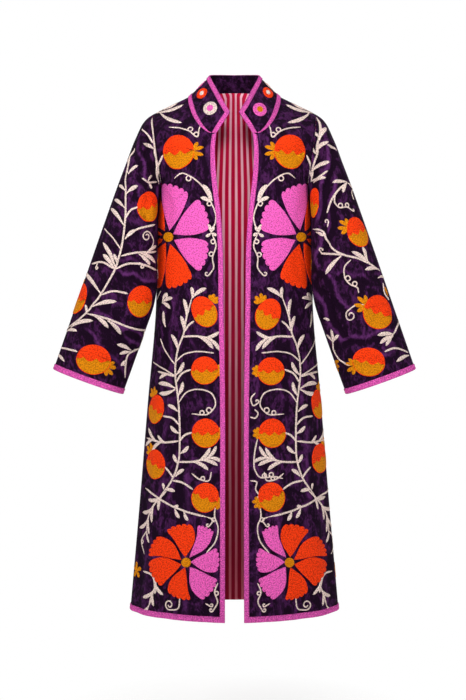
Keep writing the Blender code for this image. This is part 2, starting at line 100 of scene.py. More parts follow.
# Share of the way from the centre back to the shoulder seam; place.
BACK_NECK = (
    (0.0, 0.0, 0.08, 0.0274), (0.35, 0.051, 0.0705, 0.0235), (0.7, 0.0915, 0.04, 0.012),
    (1.0, 0.1065, 0.0, 0.0),
)
# Share of the way from the armpit to the shoulder seam; place.
FRONT_ARMHOLE = (
    (0.0, 0.168, 0.0, -0.215), (0.14, 0.1662, -0.03, -0.2095), (0.3, 0.169, -0.051, -0.184),
    (0.5, 0.1752, -0.0595, -0.144), (0.72, 0.1815, -0.053, -0.098), (0.88, 0.186, -0.031, -0.06),
    (1.0, 0.188, 0.0, -0.04),
)
BACK_ARMHOLE = (
    (0.0, 0.168, 0.0, -0.215), (0.14, 0.166, 0.031, -0.2095), (0.3, 0.1686, 0.053, -0.184),
    (0.5, 0.1745, 0.0615, -0.144), (0.72, 0.1808, 0.056, -0.1), (0.88, 0.1857, 0.034, -0.061),
    (1.0, 0.188, 0.0, -0.04),
)
# Share of the way from the front corner to the centre back; place of the collar's free edge.
COLLAR_TOP = (
    (0.0, 0.0106, -0.105, -0.0543), (0.16, 0.0235, -0.085, -0.029), (0.33, 0.0385, -0.052, 0.0045),
    (0.5, 0.0545, -0.004, 0.043), (0.64, 0.056, 0.024, 0.056), (0.8, 0.0385, 0.044, 0.0615),
    (1.0, 0.0, 0.05, 0.0624),
)
# Share of the way down the sleeve; the line over the arm; the line under it; half depth; middle depth.
SLEEVE = (
    (0.0, 0.188, -0.04, 0.168, -0.215, 0.061, 0.0), (0.02, 0.1985, -0.048, 0.1695, -0.2225, 0.062, -0.004),
    (0.05, 0.2098, -0.0625, 0.171, -0.235, 0.064, -0.012),
    (0.1, 0.2254, -0.0985, 0.1728, -0.255, 0.066, -0.024),
    (0.2, 0.246, -0.1574, 0.1736, -0.2944, 0.0665, -0.037),
    (0.3, 0.2665, -0.2159, 0.1738, -0.3341, 0.066, -0.043),
    (0.42, 0.2912, -0.2861, 0.174, -0.3817, 0.065, -0.046),
    (0.56, 0.32, -0.368, 0.1752, -0.4375, 0.0635, -0.046),
    (0.66, 0.3405, -0.4265, 0.1835, -0.484, 0.062, -0.044),
    (0.76, 0.3611, -0.485, 0.2037, -0.5425, 0.0605, -0.042),
    (0.88, 0.3857, -0.5552, 0.2285, -0.6122, 0.059, -0.04),
    (1.0, 0.4104, -0.6254, 0.254, -0.682, 0.0575, -0.038),
)
print("coat length", round(-HEM_Z + COLLAR_TOP[-1][3], 3), "hem width", 2 * SIDE_SEAM[0][1])

# %% [markdown]
# ## Folds
# Cloth that hangs from the shoulders has a few long soft folds. Each row of these tables is one trough: where
# it runs, how wide it is and how deep. The first four tables are the large folds that the solids have too.
# The others are the smaller creases of this velvet, placed as they are seen from the front or the back: the
# two ends of the crease, its half width and its depth, where a negative depth is a ridge.

# %% Large folds and small creases
# Place across from the middle to the side, top, foot, half width, depth.
FRONT_FOLDS = (
    (0.8, -0.44, -1.2, 0.13, 0.0055), (0.5, -0.7, -1.2, 0.1, 0.003),
)
BACK_FOLDS = (
    (0.3, -0.42, -1.2, 0.13, 0.007), (0.68, -0.5, -1.2, 0.12, 0.006),
)
# Degrees round from the top over the front, share down, at each end; half width; depth.
RIGHT_SLEEVE_FOLDS = (
    (62, 0.05, 84, 0.27, 0.034, 0.005), (104, 0.08, 122, 0.26, 0.03, 0.0045),
    (80, 0.56, 128, 0.46, 0.034, 0.0045), (66, 0.7, 118, 0.8, 0.036, 0.0035),
    (262, 0.08, 246, 0.3, 0.036, 0.0055), (290, 0.48, 236, 0.42, 0.036, 0.0045),
)
LEFT_SLEEVE_FOLDS = (
    (70, 0.06, 100, 0.33, 0.036, 0.0065), (128, 0.42, 92, 0.68, 0.036, 0.0065),
    (98, 0.4, 62, 0.54, 0.034, 0.004), (60, 0.76, 108, 0.86, 0.036, 0.0035),
    (262, 0.06, 248, 0.28, 0.036, 0.0055), (290, 0.52, 236, 0.44, 0.036, 0.0045),
)
# Across and height at both ends, half width, depth. Seen from the front.
RIGHT_FRONT_CREASES = (
    (-0.07, -0.13, -0.062, -0.25, 0.012, 0.0016), (-0.155, -0.11, -0.12, -0.18, 0.013, 0.0018),
    (-0.15, -0.24, -0.135, -0.36, 0.012, 0.002), (-0.15, -0.46, -0.155, -0.62, 0.012, 0.002),
    (-0.11, -0.55, -0.085, -0.66, 0.014, 0.0016), (-0.06, -0.6, -0.052, -0.82, 0.012, -0.0014),
    (-0.165, -0.7, -0.178, -0.9, 0.015, 0.0022), (-0.12, -0.86, -0.128, -1.16, 0.018, 0.0022),
    (-0.055, -0.95, -0.06, -1.18, 0.015, 0.0016), (-0.195, -0.92, -0.205, -1.18, 0.015, -0.0016),
)
LEFT_FRONT_CREASES = (
    (0.068, -0.14, 0.06, -0.24, 0.012, 0.0016), (0.158, -0.12, 0.118, -0.17, 0.013, 0.0018),
    (0.148, -0.26, 0.14, -0.4, 0.013, 0.002), (0.128, -0.44, 0.15, -0.58, 0.014, 0.002),
    (0.09, -0.58, 0.12, -0.7, 0.013, 0.0016), (0.055, -0.52, 0.05, -0.8, 0.012, -0.0014),
    (0.168, -0.66, 0.182, -0.92, 0.016, 0.0022), (0.115, -0.9, 0.122, -1.16, 0.018, 0.002),
    (0.06, -0.9, 0.066, -1.18, 0.014, 0.0016), (0.2, -0.95, 0.212, -1.18, 0.015, -0.0016),
)
BACK_CREASES = (
    (-0.12, -0.09, -0.06, -0.19, 0.016, 0.0022), (0.125, -0.08, 0.07, -0.2, 0.016, 0.0022),
    (-0.15, -0.24, -0.13, -0.42, 0.014, 0.0022), (0.15, -0.25, 0.125, -0.45, 0.014, 0.0022),
    (0.02, -0.24, 0.004, -0.5, 0.016, -0.0016), (-0.07, -0.44, -0.085, -0.8, 0.017, 0.002),
    (0.08, -0.5, 0.092, -0.86, 0.017, 0.0022), (-0.165, -0.6, -0.185, -1.0, 0.016, 0.002),
    (0.17, -0.62, 0.19, -1.05, 0.016, 0.002), (-0.01, -0.8, -0.022, -1.18, 0.018, 0.002),
    (0.125, -0.95, 0.14, -1.18, 0.015, -0.0016), (-0.12, -0.98, -0.132, -1.18, 0.015, -0.0016),
)
RIGHT_SLEEVE_CREASES = (
    (-0.181, -0.14, -0.172, -0.2, 0.011, 0.0042), (-0.198, -0.11, -0.179, -0.23, 0.011, 0.0042),
    (-0.228, -0.12, -0.203, -0.21, 0.011, 0.0034), (-0.223, -0.23, -0.196, -0.29, 0.011, 0.0034),
    (-0.252, -0.42, -0.188, -0.44, 0.012, 0.0044), (-0.254, -0.38, -0.192, -0.39, 0.011, -0.0032),
    (-0.288, -0.53, -0.21, -0.59, 0.013, 0.0046), (-0.305, -0.5, -0.21, -0.55, 0.012, -0.0034),
    (-0.334, -0.55, -0.254, -0.64, 0.013, 0.0034),
)
LEFT_SLEEVE_CREASES = (
    (0.223, -0.13, 0.196, -0.29, 0.013, 0.0056), (0.186, -0.12, 0.18, -0.23, 0.011, 0.0044),
    (0.204, -0.32, 0.19, -0.41, 0.012, 0.0046), (0.236, -0.2, 0.214, -0.33, 0.013, 0.0036),
    (0.185, -0.43, 0.243, -0.55, 0.013, 0.0056), (0.192, -0.39, 0.256, -0.5, 0.012, -0.0044),
    (0.232, -0.42, 0.288, -0.43, 0.011, 0.0032), (0.252, -0.57, 0.352, -0.55, 0.013, 0.0042),
    (0.26, -0.61, 0.336, -0.59, 0.012, -0.0034),
)
print("small creases:", sum(map(len, (RIGHT_FRONT_CREASES, LEFT_FRONT_CREASES, BACK_CREASES))), "on the body")

# %% [markdown]
# ## Smooth tables and surfaces
# A table becomes a curve with one cubic between each pair of rows. The slope at a row follows its neighbours,
# so the curve is smooth and never far from the measures. A panel is a set of such curves, one for each level.

# %% Curves through tables
def smooth(table, at):
    """A table's values at given keys: a cubic between its rows, whose slope at a row follows its neighbours."""
    rows = np.array(table, float)
    key, value = rows[:, 0], rows[:, 1:]
    slope = np.gradient(value, key, axis=0)
    at = np.clip(np.atleast_1d(np.asarray(at, float)), key[0], key[-1])
    i = np.clip(np.searchsorted(key, at, side="right") - 1, 0, len(key) - 2)
    step = (key[i + 1] - key[i])[:, None]
    t = (at - key[i])[:, None] / step
    return (
        value[i] * (2 * t**3 - 3 * t**2 + 1)
        + value[i + 1] * (3 * t**2 - 2 * t**3)
        + step * slope[i] * (t**3 - 2 * t**2 + t)
        + step * slope[i + 1] * (t**3 - t**2)
    )


def ease(t):
    """0 before 0, 1 after 1, and a smooth rise between."""
    t = np.clip(t, 0.0, 1.0)
    return t * t * (3 - 2 * t)


def unit(v):
    """Vectors brought to length 1."""
    return v / np.maximum(np.linalg.norm(v, axis=-1, keepdims=True), 1e-12)


def path_run(points):
    """Length along a path at each of its points: the sum of the steps up to it."""
    return np.concatenate([[0], np.cumsum(np.linalg.norm(np.diff(points, axis=0), axis=1))])


def sampled(at, run, values):
    """Each column of values, known at the lengths in run, read at other lengths."""
    return np.stack([np.interp(at, run, values[:, k]) for k in range(values.shape[1])], axis=-1)


def mirrored(points, side):
    """The wearer's left half as it is, or turned over to the right."""
    return points * np.array([side, 1.0, 1.0])


def grid_normals(points, outwards, around=False):
    """The direction each point of a grid faces: the cross product of its two directions, turned outwards."""
    down = np.gradient(points, axis=0)
    across = np.roll(points, -1, 1) - np.roll(points, 1, 1) if around else np.gradient(points, axis=1)
    n = unit(np.cross(down, across))
    return n * np.where((n * outwards).sum(-1, keepdims=True) < 0, -1, 1)


def trough(distance, half_width):
    """A soft valley across a distance: 1 in its middle and 0 from half_width out."""
    return np.cos(np.clip(distance / half_width, -1, 1) * np.pi / 2) ** 2


def crease_field(points, normals, creases, facing):
    """Depth of the short creases at each point, and their painted light: 1 for a painted highlight on the upper or
    inner flank and -1 for painted shade in the valley. The distance from a crease is measured as seen along Y, and
    a crease fades on cloth that turns away from the viewer at the -Y (facing -1) or +Y (facing 1) side."""
    seen = points[..., [0, 2]]
    weight = ease(normals[..., 1] * facing * 2.2)
    depth, lie_and_painted_light = np.zeros(points.shape[:-1]), np.zeros(points.shape[:-1])
    for x1, z1, x2, z2, half_width, deep in creases:
        start, run = np.array([x1, z1]), np.array([x2 - x1, z2 - z1])
        along = ((seen - start) @ run) / (run @ run)
        bend = 0.004 * np.sin(3.0 * np.pi * along + 40 * x1)
        side = ((seen - start) @ np.array([-run[1], run[0]])) / np.linalg.norm(run) + bend
        beyond = np.maximum(np.maximum(-along, along - 1), 0) * np.linalg.norm(run)
        distance = np.hypot(side, beyond * 0.45)
        depth += deep * trough(distance, half_width)
        upper = np.sign(0.5 * run[1] + run[0]) * side / half_width
        valley, flank = (0.0, 0.95) if deep > 0 else (-0.95, 0.0)
        ends = trough(beyond, 0.02) * min(1, abs(deep) / 0.0042)
        # Painted light: a highlight on the crease's flank and painted shade in its valley.
        lie_and_painted_light += ends * (trough(upper - flank, 0.55) - 1.2 * trough(upper - valley, 0.75))
    return depth * weight, lie_and_painted_light * weight


def creased(points, normals, creases, facing):
    """Points pushed in along their normals by the depth of the creases."""
    return points - normals * crease_field(points, normals, creases, facing)[0][..., None]


def keep_to(vectors, away):
    """The vectors without what would carry them across a seam: away points from the seam into the piece."""
    across = (vectors * away).sum(-1, keepdims=True)
    return vectors - away * np.minimum(across, 0)


print("armhole depth", round(float(np.ptp(smooth(FRONT_ARMHOLE, np.linspace(0, 1, 9))[:, 2])), 3))

# %% [markdown]
# ## The body's panels
# A front runs from its edge and the neckline to the side seam and the armhole. For each level a cubic Bezier
# curve leaves the inner edge sideways and arrives at the side seam straight back, like a quarter of an
# ellipse. Nothing else is needed for a whole front, and the back works in the same way.

# %% Surfaces of the fronts and the back
def skirt_height(level, foot):
    """Height of a row below the armpit: level -1 at the foot, 0 at the armpit."""
    return foot + (ARMPIT_Z - foot) * (level + 1)


def front_inner(level):
    """Front edge up to the neck, then the neckline to the shoulder seam."""
    rise = (NECK_FRONT_Z - ARMPIT_Z) * level / FRONT_NECK_AT
    z = np.where(level < 0, skirt_height(level, HEM_Z), ARMPIT_Z + rise)
    edge = np.column_stack([smooth(FRONT_EDGE, z), np.clip(z, HEM_Z, NECK_FRONT_Z)])
    neck = smooth(FRONT_NECK, (level - FRONT_NECK_AT) / (1 - FRONT_NECK_AT))
    return np.where((level <= FRONT_NECK_AT)[:, None], edge, neck)


def back_inner(level):
    """Centre back up to the neck, then the neckline to the shoulder seam."""
    neck_z = CENTRE_BACK[-1][0]
    rise = (neck_z - ARMPIT_Z) * level / BACK_NECK_AT
    z = np.where(level < 0, skirt_height(level, HEM_Z), ARMPIT_Z + rise)
    centre = np.column_stack([0 * z, smooth(CENTRE_BACK, z)[:, 0], np.clip(z, HEM_Z, neck_z)])
    neck = smooth(BACK_NECK, (level - BACK_NECK_AT) / (1 - BACK_NECK_AT))
    return np.where((level <= BACK_NECK_AT)[:, None], centre, neck)


def outer_edge(level, armhole):
    """Side seam up to the armpit, then the armhole to the shoulder seam."""
    z = skirt_height(np.minimum(level, 0), HEM_Z + HEM_SIDE_RISE)
    seam = np.column_stack([smooth(SIDE_SEAM, z)[:, 0], 0 * z, z])
    return np.where((level <= 0)[:, None], seam, smooth(armhole, level))


def panel_rows(level, inner, outer, columns):
    """One curve for each level from the inner to the outer edge, in even steps of its length."""
    t = np.linspace(0, 1, CURVE_POINTS)[None, :, None]
    turn = ease(level / ARMHOLE_TURN)[:, None]
    handle = (QUARTER + (BOXY_QUARTER - QUARTER) * ease(level / BOXY_FADE + 1))[:, None]
    reach = (outer - inner) * np.array([1, 0, 1]) * handle
    back = (inner - outer) * np.array([0, 1, 0]) * handle
    chord = (inner - outer) / 3 + np.sign(inner[:, 1:2]) * np.array([0, CHEST_BULGE, 0])
    top = ease((level - 1) / SHOULDER_FADE + 1)[:, None]
    chord = chord * (1 - top) + (inner - outer) / 3 * top
    p0, p1 = inner[:, None], (inner + reach)[:, None]
    p2, p3 = (outer + back * (1 - turn) + chord * turn)[:, None], outer[:, None]
    fine = (1 - t) ** 3 * p0 + 3 * (1 - t) ** 2 * t * p1 + 3 * (1 - t) * t**2 * p2 + t**3 * p3
    rows = []
    for line in fine:
        run = path_run(line)
        rows.append(sampled(np.linspace(0, run[-1], columns + 1), run, line))
    return np.array(rows)


def skirt_folds(points, normals, folds):
    """The rows' points pushed in along each skirt fold, more towards the hem."""
    across = np.linspace(0, 1, points.shape[1])[None, :]
    z = points[..., 2]
    depth = np.zeros_like(z)
    for place, top, foot, half_width, deep in folds:
        depth += deep * trough(across - place, half_width) * ease((top - z) / (top - foot) * 1.3)
    return points - normals * depth[..., None]


def front_surface(creases, side, cells=(160, 20, 34), columns=48):
    """Outer surface of a front on the left side, with its directions and the vectors through its wall."""
    level = np.concatenate([np.linspace(-1, 0, cells[0] + 1), np.linspace(0, FRONT_NECK_AT, cells[1] + 1)[1:],
                            np.linspace(FRONT_NECK_AT, 1, cells[2] + 1)[1:]])
    points = panel_rows(level, front_inner(level), outer_edge(level, FRONT_ARMHOLE), columns)
    hint = points * np.array([1, 1, 0]) + np.array([0, -0.02, 0.05])
    points = skirt_folds(points, grid_normals(points, hint), FRONT_FOLDS)
    creases = [(a * side, b, c * side, d, e, f) for a, b, c, d, e, f in creases]
    points = creased(points, grid_normals(points, hint), creases, -1)
    points[..., 1] = np.minimum(points[..., 1], 0.0)
    normals = grid_normals(points, hint)
    inwards = -normals
    seam = points[..., 1] > -GAP
    inwards[seam] = keep_to(inwards[seam], np.array([0.0, -1.0, 0.0]))
    armhole = level > 0
    inwards[armhole, -1] = keep_to(inwards[armhole, -1], np.array([-1.0, 0.0, 0.0]))
    return level, points, normals, inwards


def back_surface(creases, cells=(160, 32, 16), columns=48):
    """Outer surface of the back's left half, with its directions and the vectors through its wall."""
    level = np.concatenate([np.linspace(-1, 0, cells[0] + 1), np.linspace(0, BACK_NECK_AT, cells[1] + 1)[1:],
                            np.linspace(BACK_NECK_AT, 1, cells[2] + 1)[1:]])
    points = panel_rows(level, back_inner(level), outer_edge(level, BACK_ARMHOLE), columns)
    hint = points * np.array([1, 1, 0]) + np.array([0, 0.02, 0.05])
    points = skirt_folds(points, grid_normals(points, hint), BACK_FOLDS)
    points = creased(points, grid_normals(points, hint), creases, 1)
    points[..., 1] = np.maximum(points[..., 1], 0.0)
    normals = grid_normals(points, hint)
    middle = level <= BACK_NECK_AT
    normals[middle, 0] = unit(normals[middle, 0] * np.array([0, 1, 1]))
    inwards = -normals
    seam = points[..., 1] < GAP
    inwards[seam] = keep_to(inwards[seam], np.array([0.0, 1.0, 0.0]))
    armhole = level > 0
    inwards[armhole, -1] = keep_to(inwards[armhole, -1], np.array([-1.0, 0.0, 0.0]))
    return level, points, normals, inwards


front_shape = {-1: front_surface(RIGHT_FRONT_CREASES, -1), 1: front_surface(LEFT_FRONT_CREASES, 1)}
# The creases of the two halves of the back differ, so each half is made with its own.
back_shape = {
    -1: back_surface([(-a, b, -c, d, e, f) for a, b, c, d, e, f in BACK_CREASES]),
    1: back_surface(BACK_CREASES),
}
print("front", front_shape[1][1].shape[:2], "points; back half", back_shape[1][1].shape[:2], "points")

# %% [markdown]
# ## Collar and sleeves
# The collar is ruled: straight lines rise from the neck seam to its free edge, a shorter line that leans in.
# A sleeve is a stack of rings. The first rings take over the armhole's own outline, and the others are
# ellipses between the line over the arm and the line under it.

# %% Surfaces of the collar and the sleeves
def neck_seam(front, back):
    """The seam between body and collar from the front corner to the centre back: its points, the way the
    collar's wall rises from them, and the way from the seam into the collar."""
    level, points = front[:2]
    rows = level >= FRONT_NECK_AT - 1e-9
    base, body = points[rows, 0], points[rows, 2] - points[rows, 0]
    level, points = back[:2]
    rows = level >= BACK_NECK_AT - 1e-9
    back_base, back_body = points[rows, 0][::-1], (points[rows, 2] - points[rows, 0])[::-1]
    back_body[-1] = points[np.flatnonzero(rows)[0] - 1, 0] - back_base[-1]
    base = np.concatenate([base[:-1], (base[-1:] + back_base[:1]) / 2, back_base[1:]])
    body = np.concatenate([body[:-1], (body[-1:] + back_body[:1]) / 2, back_body[1:]])
    run = np.concatenate([[0], np.cumsum(np.linalg.norm(np.diff(base, axis=0), axis=1))])
    share = run / run[-1]
    top = smooth(COLLAR_TOP, share)
    rise = unit(top - base)
    return base, top, rise, unit(rise - unit(body)), share


def fit_neck(front, back, away):
    """The body's walls kept on their own side of the neck seam."""
    corner = int(np.argmin(np.abs(front[0] - FRONT_NECK_AT)))
    count = len(front[0]) - corner
    for vectors in front[2:]:
        vectors[corner:, 0] = keep_to(vectors[corner:, 0], -away[:count])
    corner = int(np.argmin(np.abs(back[0] - BACK_NECK_AT)))
    for vectors in back[2:]:
        vectors[corner:, 0] = keep_to(vectors[corner:, 0], -away[count - 1:][::-1])


def collar_surface(front, back, rows=14):
    """The left half of the collar, from the front edge to the centre back. A point is the seam's point plus
    the rise at that place times its height above the seam."""
    base, top, rise, away, _ = neck_seam(front, back)
    fit_neck(front, back, away)
    base = base + away * GAP
    height = np.linalg.norm(top - base, axis=1)
    points = base[None] + rise[None] * (np.linspace(0, 1, rows + 1)[:, None] * height)[..., None]
    hint = points * np.array([1, 1, 0]) + np.array([0, -0.01, 0.03])
    normals = grid_normals(points, hint)
    normals[:, -1] = unit(normals[:, -1] * np.array([0, 1, 1]))
    inwards = -normals
    inwards[0] = keep_to(inwards[0], away)
    return points, normals, inwards


def armhole_ring(angles):
    """Places on the armhole's edge: 0 at the shoulder seam, a half turn at the armpit, front first."""
    share = 1 - np.minimum(angles, 2 * np.pi - angles) / np.pi
    front, back = smooth(FRONT_ARMHOLE, share), smooth(BACK_ARMHOLE, share)
    return np.where((angles <= np.pi)[:, None], front, back)


def behind(creases):
    """Like creases, lower down and a little wider, on the side that the arm hides."""
    return [(a, b - 0.02, c, d - 0.03, e * 1.1, f) for a, b, c, d, e, f in creases[::2]]


def sleeve_surface(folds, creases, side, rings=158, columns=144):
    """Outer surface of a sleeve on the left side: rings from the armhole to the cuff."""
    angles = np.linspace(0, 2 * np.pi, columns, endpoint=False)
    share = np.concatenate([np.linspace(0, 0.1, 16)[:-1], np.linspace(0.1, 1, rings - 14)])
    row = smooth(SLEEVE, share)
    over = np.column_stack([row[:, 0], 0 * share, row[:, 1]])
    under = np.column_stack([row[:, 2], 0 * share, row[:, 3]])
    middle, half = (over + under) / 2, (over - under) / 2
    ring = armhole_ring(angles) - middle[0]
    along = (ring * half[0]).sum(-1) / (half[0] ** 2).sum()
    aside = ring[:, 1] / row[0, 4]
    proud = ring - along[:, None] * half[0] - ring[:, 1:2] * np.array([0, 1, 0])
    fade = ease(share / HEAD_FADE)[:, None]
    up = along[None] * (1 - fade) + np.cos(angles)[None] * fade
    out = aside[None] * (1 - fade) - np.sin(angles)[None] * fade
    points = middle[:, None] + half[:, None] * up[..., None]
    points[..., 1] += row[:, 5:6] + row[:, 4:5] * out
    points += proud[None] * (1 - fade)[..., None]
    normals = grid_normals(points, points - middle[:, None], around=True)
    radius = np.linalg.norm(half, axis=1)
    for start, start_at, end, end_at, half_width, deep in folds:
        t = np.clip((share - min(start_at, end_at)) / abs(end_at - start_at), 0, 1)
        t = t if start_at < end_at else 1 - t
        centre = np.radians(start + (end - start) * t)
        off_ring = np.maximum(np.maximum(min(start_at, end_at) - share, share - max(start_at, end_at)), 0)
        turn = (angles[None] - centre[:, None] + np.pi) % (2 * np.pi) - np.pi
        distance = np.hypot(turn * radius[:, None], (off_ring * 0.55)[:, None])
        points = points - normals * (deep * trough(distance, half_width))[..., None]
    creases = [(a * side, b, c * side, d, e, f) for a, b, c, d, e, f in creases]
    normals = grid_normals(points, points - middle[:, None], around=True)
    points = creased(points, normals, creases, -1)
    points = creased(points, normals, behind(creases), 1)
    points[0, :, 0] = armhole_ring(angles)[:, 0] + GAP
    points[0, :, 1:] = armhole_ring(angles)[:, 1:]
    normals = grid_normals(points, points - middle[:, None], around=True)
    inwards = -normals
    inwards[0] = keep_to(inwards[0], np.array([1.0, 0.0, 0.0]))
    return points, normals, inwards


collar_shape = {side: collar_surface(front_shape[side], back_shape[side]) for side in (-1, 1)}
sleeve_shape = {
    -1: sleeve_surface(RIGHT_SLEEVE_FOLDS, RIGHT_SLEEVE_CREASES, -1),
    1: sleeve_surface(LEFT_SLEEVE_FOLDS, LEFT_SLEEVE_CREASES, 1),
}


def painted_crease_light(points, normals, creases, side, facing):
    """The painted highlight and shade on a panel, from its creases turned over to the side that the panel is made on.
    """
    turned = [(a * side, b, c * side, d, e, f) for a, b, c, d, e, f in creases]
    return crease_field(points, normals, turned, facing)[1]


# Painted highlight and painted shade of each panel's creases, for the velvet's colour.
painted_light_of_creases = {}
for side, on_front, on_sleeve in ((-1, RIGHT_FRONT_CREASES, RIGHT_SLEEVE_CREASES),
                                  (1, LEFT_FRONT_CREASES, LEFT_SLEEVE_CREASES)):
    painted_light_of_creases["front", side] = painted_crease_light(*front_shape[side][1:3], on_front, side, -1)
    painted_light_of_creases["sleeve", side] = (painted_crease_light(*sleeve_shape[side][:2], on_sleeve, side, -1)
                                + painted_crease_light(*sleeve_shape[side][:2], behind(on_sleeve), side, 1))
    painted_light_of_creases["back", side] = painted_crease_light(*back_shape[side][1:3], BACK_CREASES, side, 1)
print("collar half", collar_shape[1][0].shape[:2], "points; sleeve", sleeve_shape[1][0].shape[:2], "points")

# %% [markdown]
# ## From surfaces to cloth
# A sheet of cloth in a picture has two faces and an edge. One way is a Solidify modifier. Here the second face
# is already known, because every point has a vector through the cloth, so both faces and the rim between them
# are made directly, and neighbouring panels can't cross at a seam.

# %% Meshes from arrays
def mesh_piece(name, points, faces, flat, marks, materials):
    """An object from arrays: points, a list of face arrays, flat places for the UV map, a material number for
    each face. Its faces are turned outwards, and it stays at the origin."""
    mesh = bpy.data.meshes.new(name)
    mesh.from_pydata(points.tolist(), [], [face for block in faces for face in block.tolist()])
    for made in materials:
        mesh.materials.append(made)
    mesh.polygons.foreach_set("material_index", np.concatenate(marks).astype(np.int32))
    corners = np.empty(len(mesh.loops), np.int32)
    mesh.loops.foreach_get("vertex_index", corners)
    mesh.uv_layers.new(name="UVMap").data.foreach_set("uv", flat[corners].astype(np.float32).ravel())
    work = bmesh.new()
    work.from_mesh(mesh)
    bmesh.ops.recalc_face_normals(work, faces=work.faces)
    work.to_mesh(mesh)
    work.free()
    mesh.shade_smooth()
    made = bpy.data.objects.new(name, mesh)
    bpy.context.scene.collection.objects.link(made)
    return made


def grid_cells(rows, columns, wrap=False):
    """The four corners of each cell of a grid, as indices into its flattened points."""
    width = columns if wrap else columns + 1
    r, c = np.meshgrid(np.arange(rows), np.arange(columns), indexing="ij")
    a, b = r * width + c, r * width + (c + 1) % width
    return np.stack([a, b, b + width, a + width], axis=-1).reshape(-1, 4)


def cloth_wall(name, near, far, cells, flat, materials, lie_and_painted_light=None):
    """Closed cloth between two copies of one surface. Its outer face and its rim take the first material and
    its inner face the second. An edge that only one cell uses is an open edge, and gets a strip of rim."""
    used, index = np.unique(cells, return_inverse=True)
    cells, count = index.reshape(-1, 4), len(used)
    points = np.concatenate([near.reshape(-1, 3)[used], far.reshape(-1, 3)[used]])
    edges = np.concatenate([cells[:, [k, (k + 1) % 4]] for k in range(4)])
    _, first, uses = np.unique(np.sort(edges, axis=1), axis=0, return_index=True, return_counts=True)
    open_edges = edges[first[uses == 1]]
    rim = np.stack([open_edges[:, 1], open_edges[:, 0], open_edges[:, 0] + count, open_edges[:, 1] + count], axis=-1)
    faces = [cells, cells[:, ::-1] + count, rim]
    marks = [np.zeros(len(cells)), np.full(len(cells), min(1, len(materials) - 1)), np.zeros(len(rim))]
    flat = flat.reshape(-1, 2)[used]
    made = mesh_piece(name, points, faces, np.concatenate([flat, flat]), marks, materials)
    # The creases' painted highlight and painted shade go on the outer face; the inner face gets none.
    if lie_and_painted_light is not None:
        outer = lie_and_painted_light.ravel()[used]
        kept = made.data.attributes.new("lie_and_painted_light", "FLOAT", "POINT")
        kept.data.foreach_set("value", np.concatenate([outer, 0 * outer]).astype(np.float32))
    return made


def run_lengths(points, start=0.0):
    """Length along each row of a grid, from its first column."""
    steps = np.linalg.norm(np.diff(points, axis=1), axis=-1)
    return start + np.concatenate([np.zeros((len(points), 1)), np.cumsum(steps, axis=1)], axis=1)


print("helpers ready")

# %% [markdown]
# ## Finishes
# Each finish is a Principled shader whose colour and bump change over the cloth. What several finishes share
# is a node group: the stitches of the embroidery, the crushed pile, the loops of the braid and the weave.
# A group gives out masks and heights only. Values that are the same all over stay on the shader itself.

# %% Colours and small node tools
def srgb(red, green, blue):
    """A colour as it looks on a screen, from 0 to 255, as the linear colour a shader takes."""
    c = np.array([red, green, blue]) / 255
    return (*np.where(c <= 0.04045, c / 12.92, ((c + 0.055) / 1.055) ** 2.4), 1.0)


def group(name, inputs, outputs):
    """An empty shader node group with named sockets; a socket is a name, a kind and a starting value."""
    made = bpy.data.node_groups.new(name, "ShaderNodeTree")
    for title, kind, start in inputs:
        socket = made.interface.new_socket(title, in_out="INPUT", socket_type=f"NodeSocket{kind}")
        if start is not None:
            socket.default_value = start
    for title, kind in outputs:
        made.interface.new_socket(title, in_out="OUTPUT", socket_type=f"NodeSocket{kind}")
    return made, made.nodes.new("NodeGroupInput"), made.nodes.new("NodeGroupOutput")


def math(tree, operation, *values):
    """One Math node, fed by numbers or by other nodes' outputs."""
    node = tree.nodes.new("ShaderNodeMath")
    node.operation = operation
    for socket, value in zip(node.inputs, values):
        if isinstance(value, (int, float)):
            socket.default_value = value
        else:
            tree.links.new(value, socket)
    return node.outputs[0]


def noise(tree, vector, scale, detail=3.0, distortion=0.0):
    """One Noise Texture's value, about 0.3 to 0.7."""
    node = tree.nodes.new("ShaderNodeTexNoise")
    node.inputs["Scale"].default_value = scale
    node.inputs["Detail"].default_value = detail
    node.inputs["Distortion"].default_value = distortion
    tree.links.new(vector, node.inputs["Vector"])
    return node.outputs["Fac"]


def between(tree, value, low, high, to_low=0.0, to_high=1.0):
    """A value's place between low and high, kept within the range it is given."""
    node = tree.nodes.new("ShaderNodeMapRange")
    tree.links.new(value, node.inputs["Value"])
    for title, number in zip(("From Min", "From Max", "To Min", "To Max"), (low, high, to_low, to_high)):
        node.inputs[title].default_value = number
    return node.outputs["Result"]


def stretched(tree, vector, scale):
    node = tree.nodes.new("ShaderNodeMapping")
    node.inputs["Scale"].default_value = scale
    tree.links.new(vector, node.inputs["Vector"])
    return node.outputs["Vector"]


def split(tree, vector):
    node = tree.nodes.new("ShaderNodeSeparateXYZ")
    tree.links.new(vector, node.inputs["Vector"])
    return node.outputs["X"], node.outputs["Y"]


print("velvet", [round(v, 3) for v in srgb(46, 18, 60)[:3]])

# %% [markdown]
# ## What each group does
# Crushed pile: broad patches where the pile lies over and shines paler, with creased edges, and a fine grain.
# Chain stitch: rows about two and a half millimetres apart that waver, each a string of short rounded stitches.
# Braid loops: small slanting loops that meet in the middle, with dark gaps between them: partly the braid's own
# dark specks, partly painted shade where the loops are low and at the braid's edges.
# Weave: fine threads that cross, for the lining.

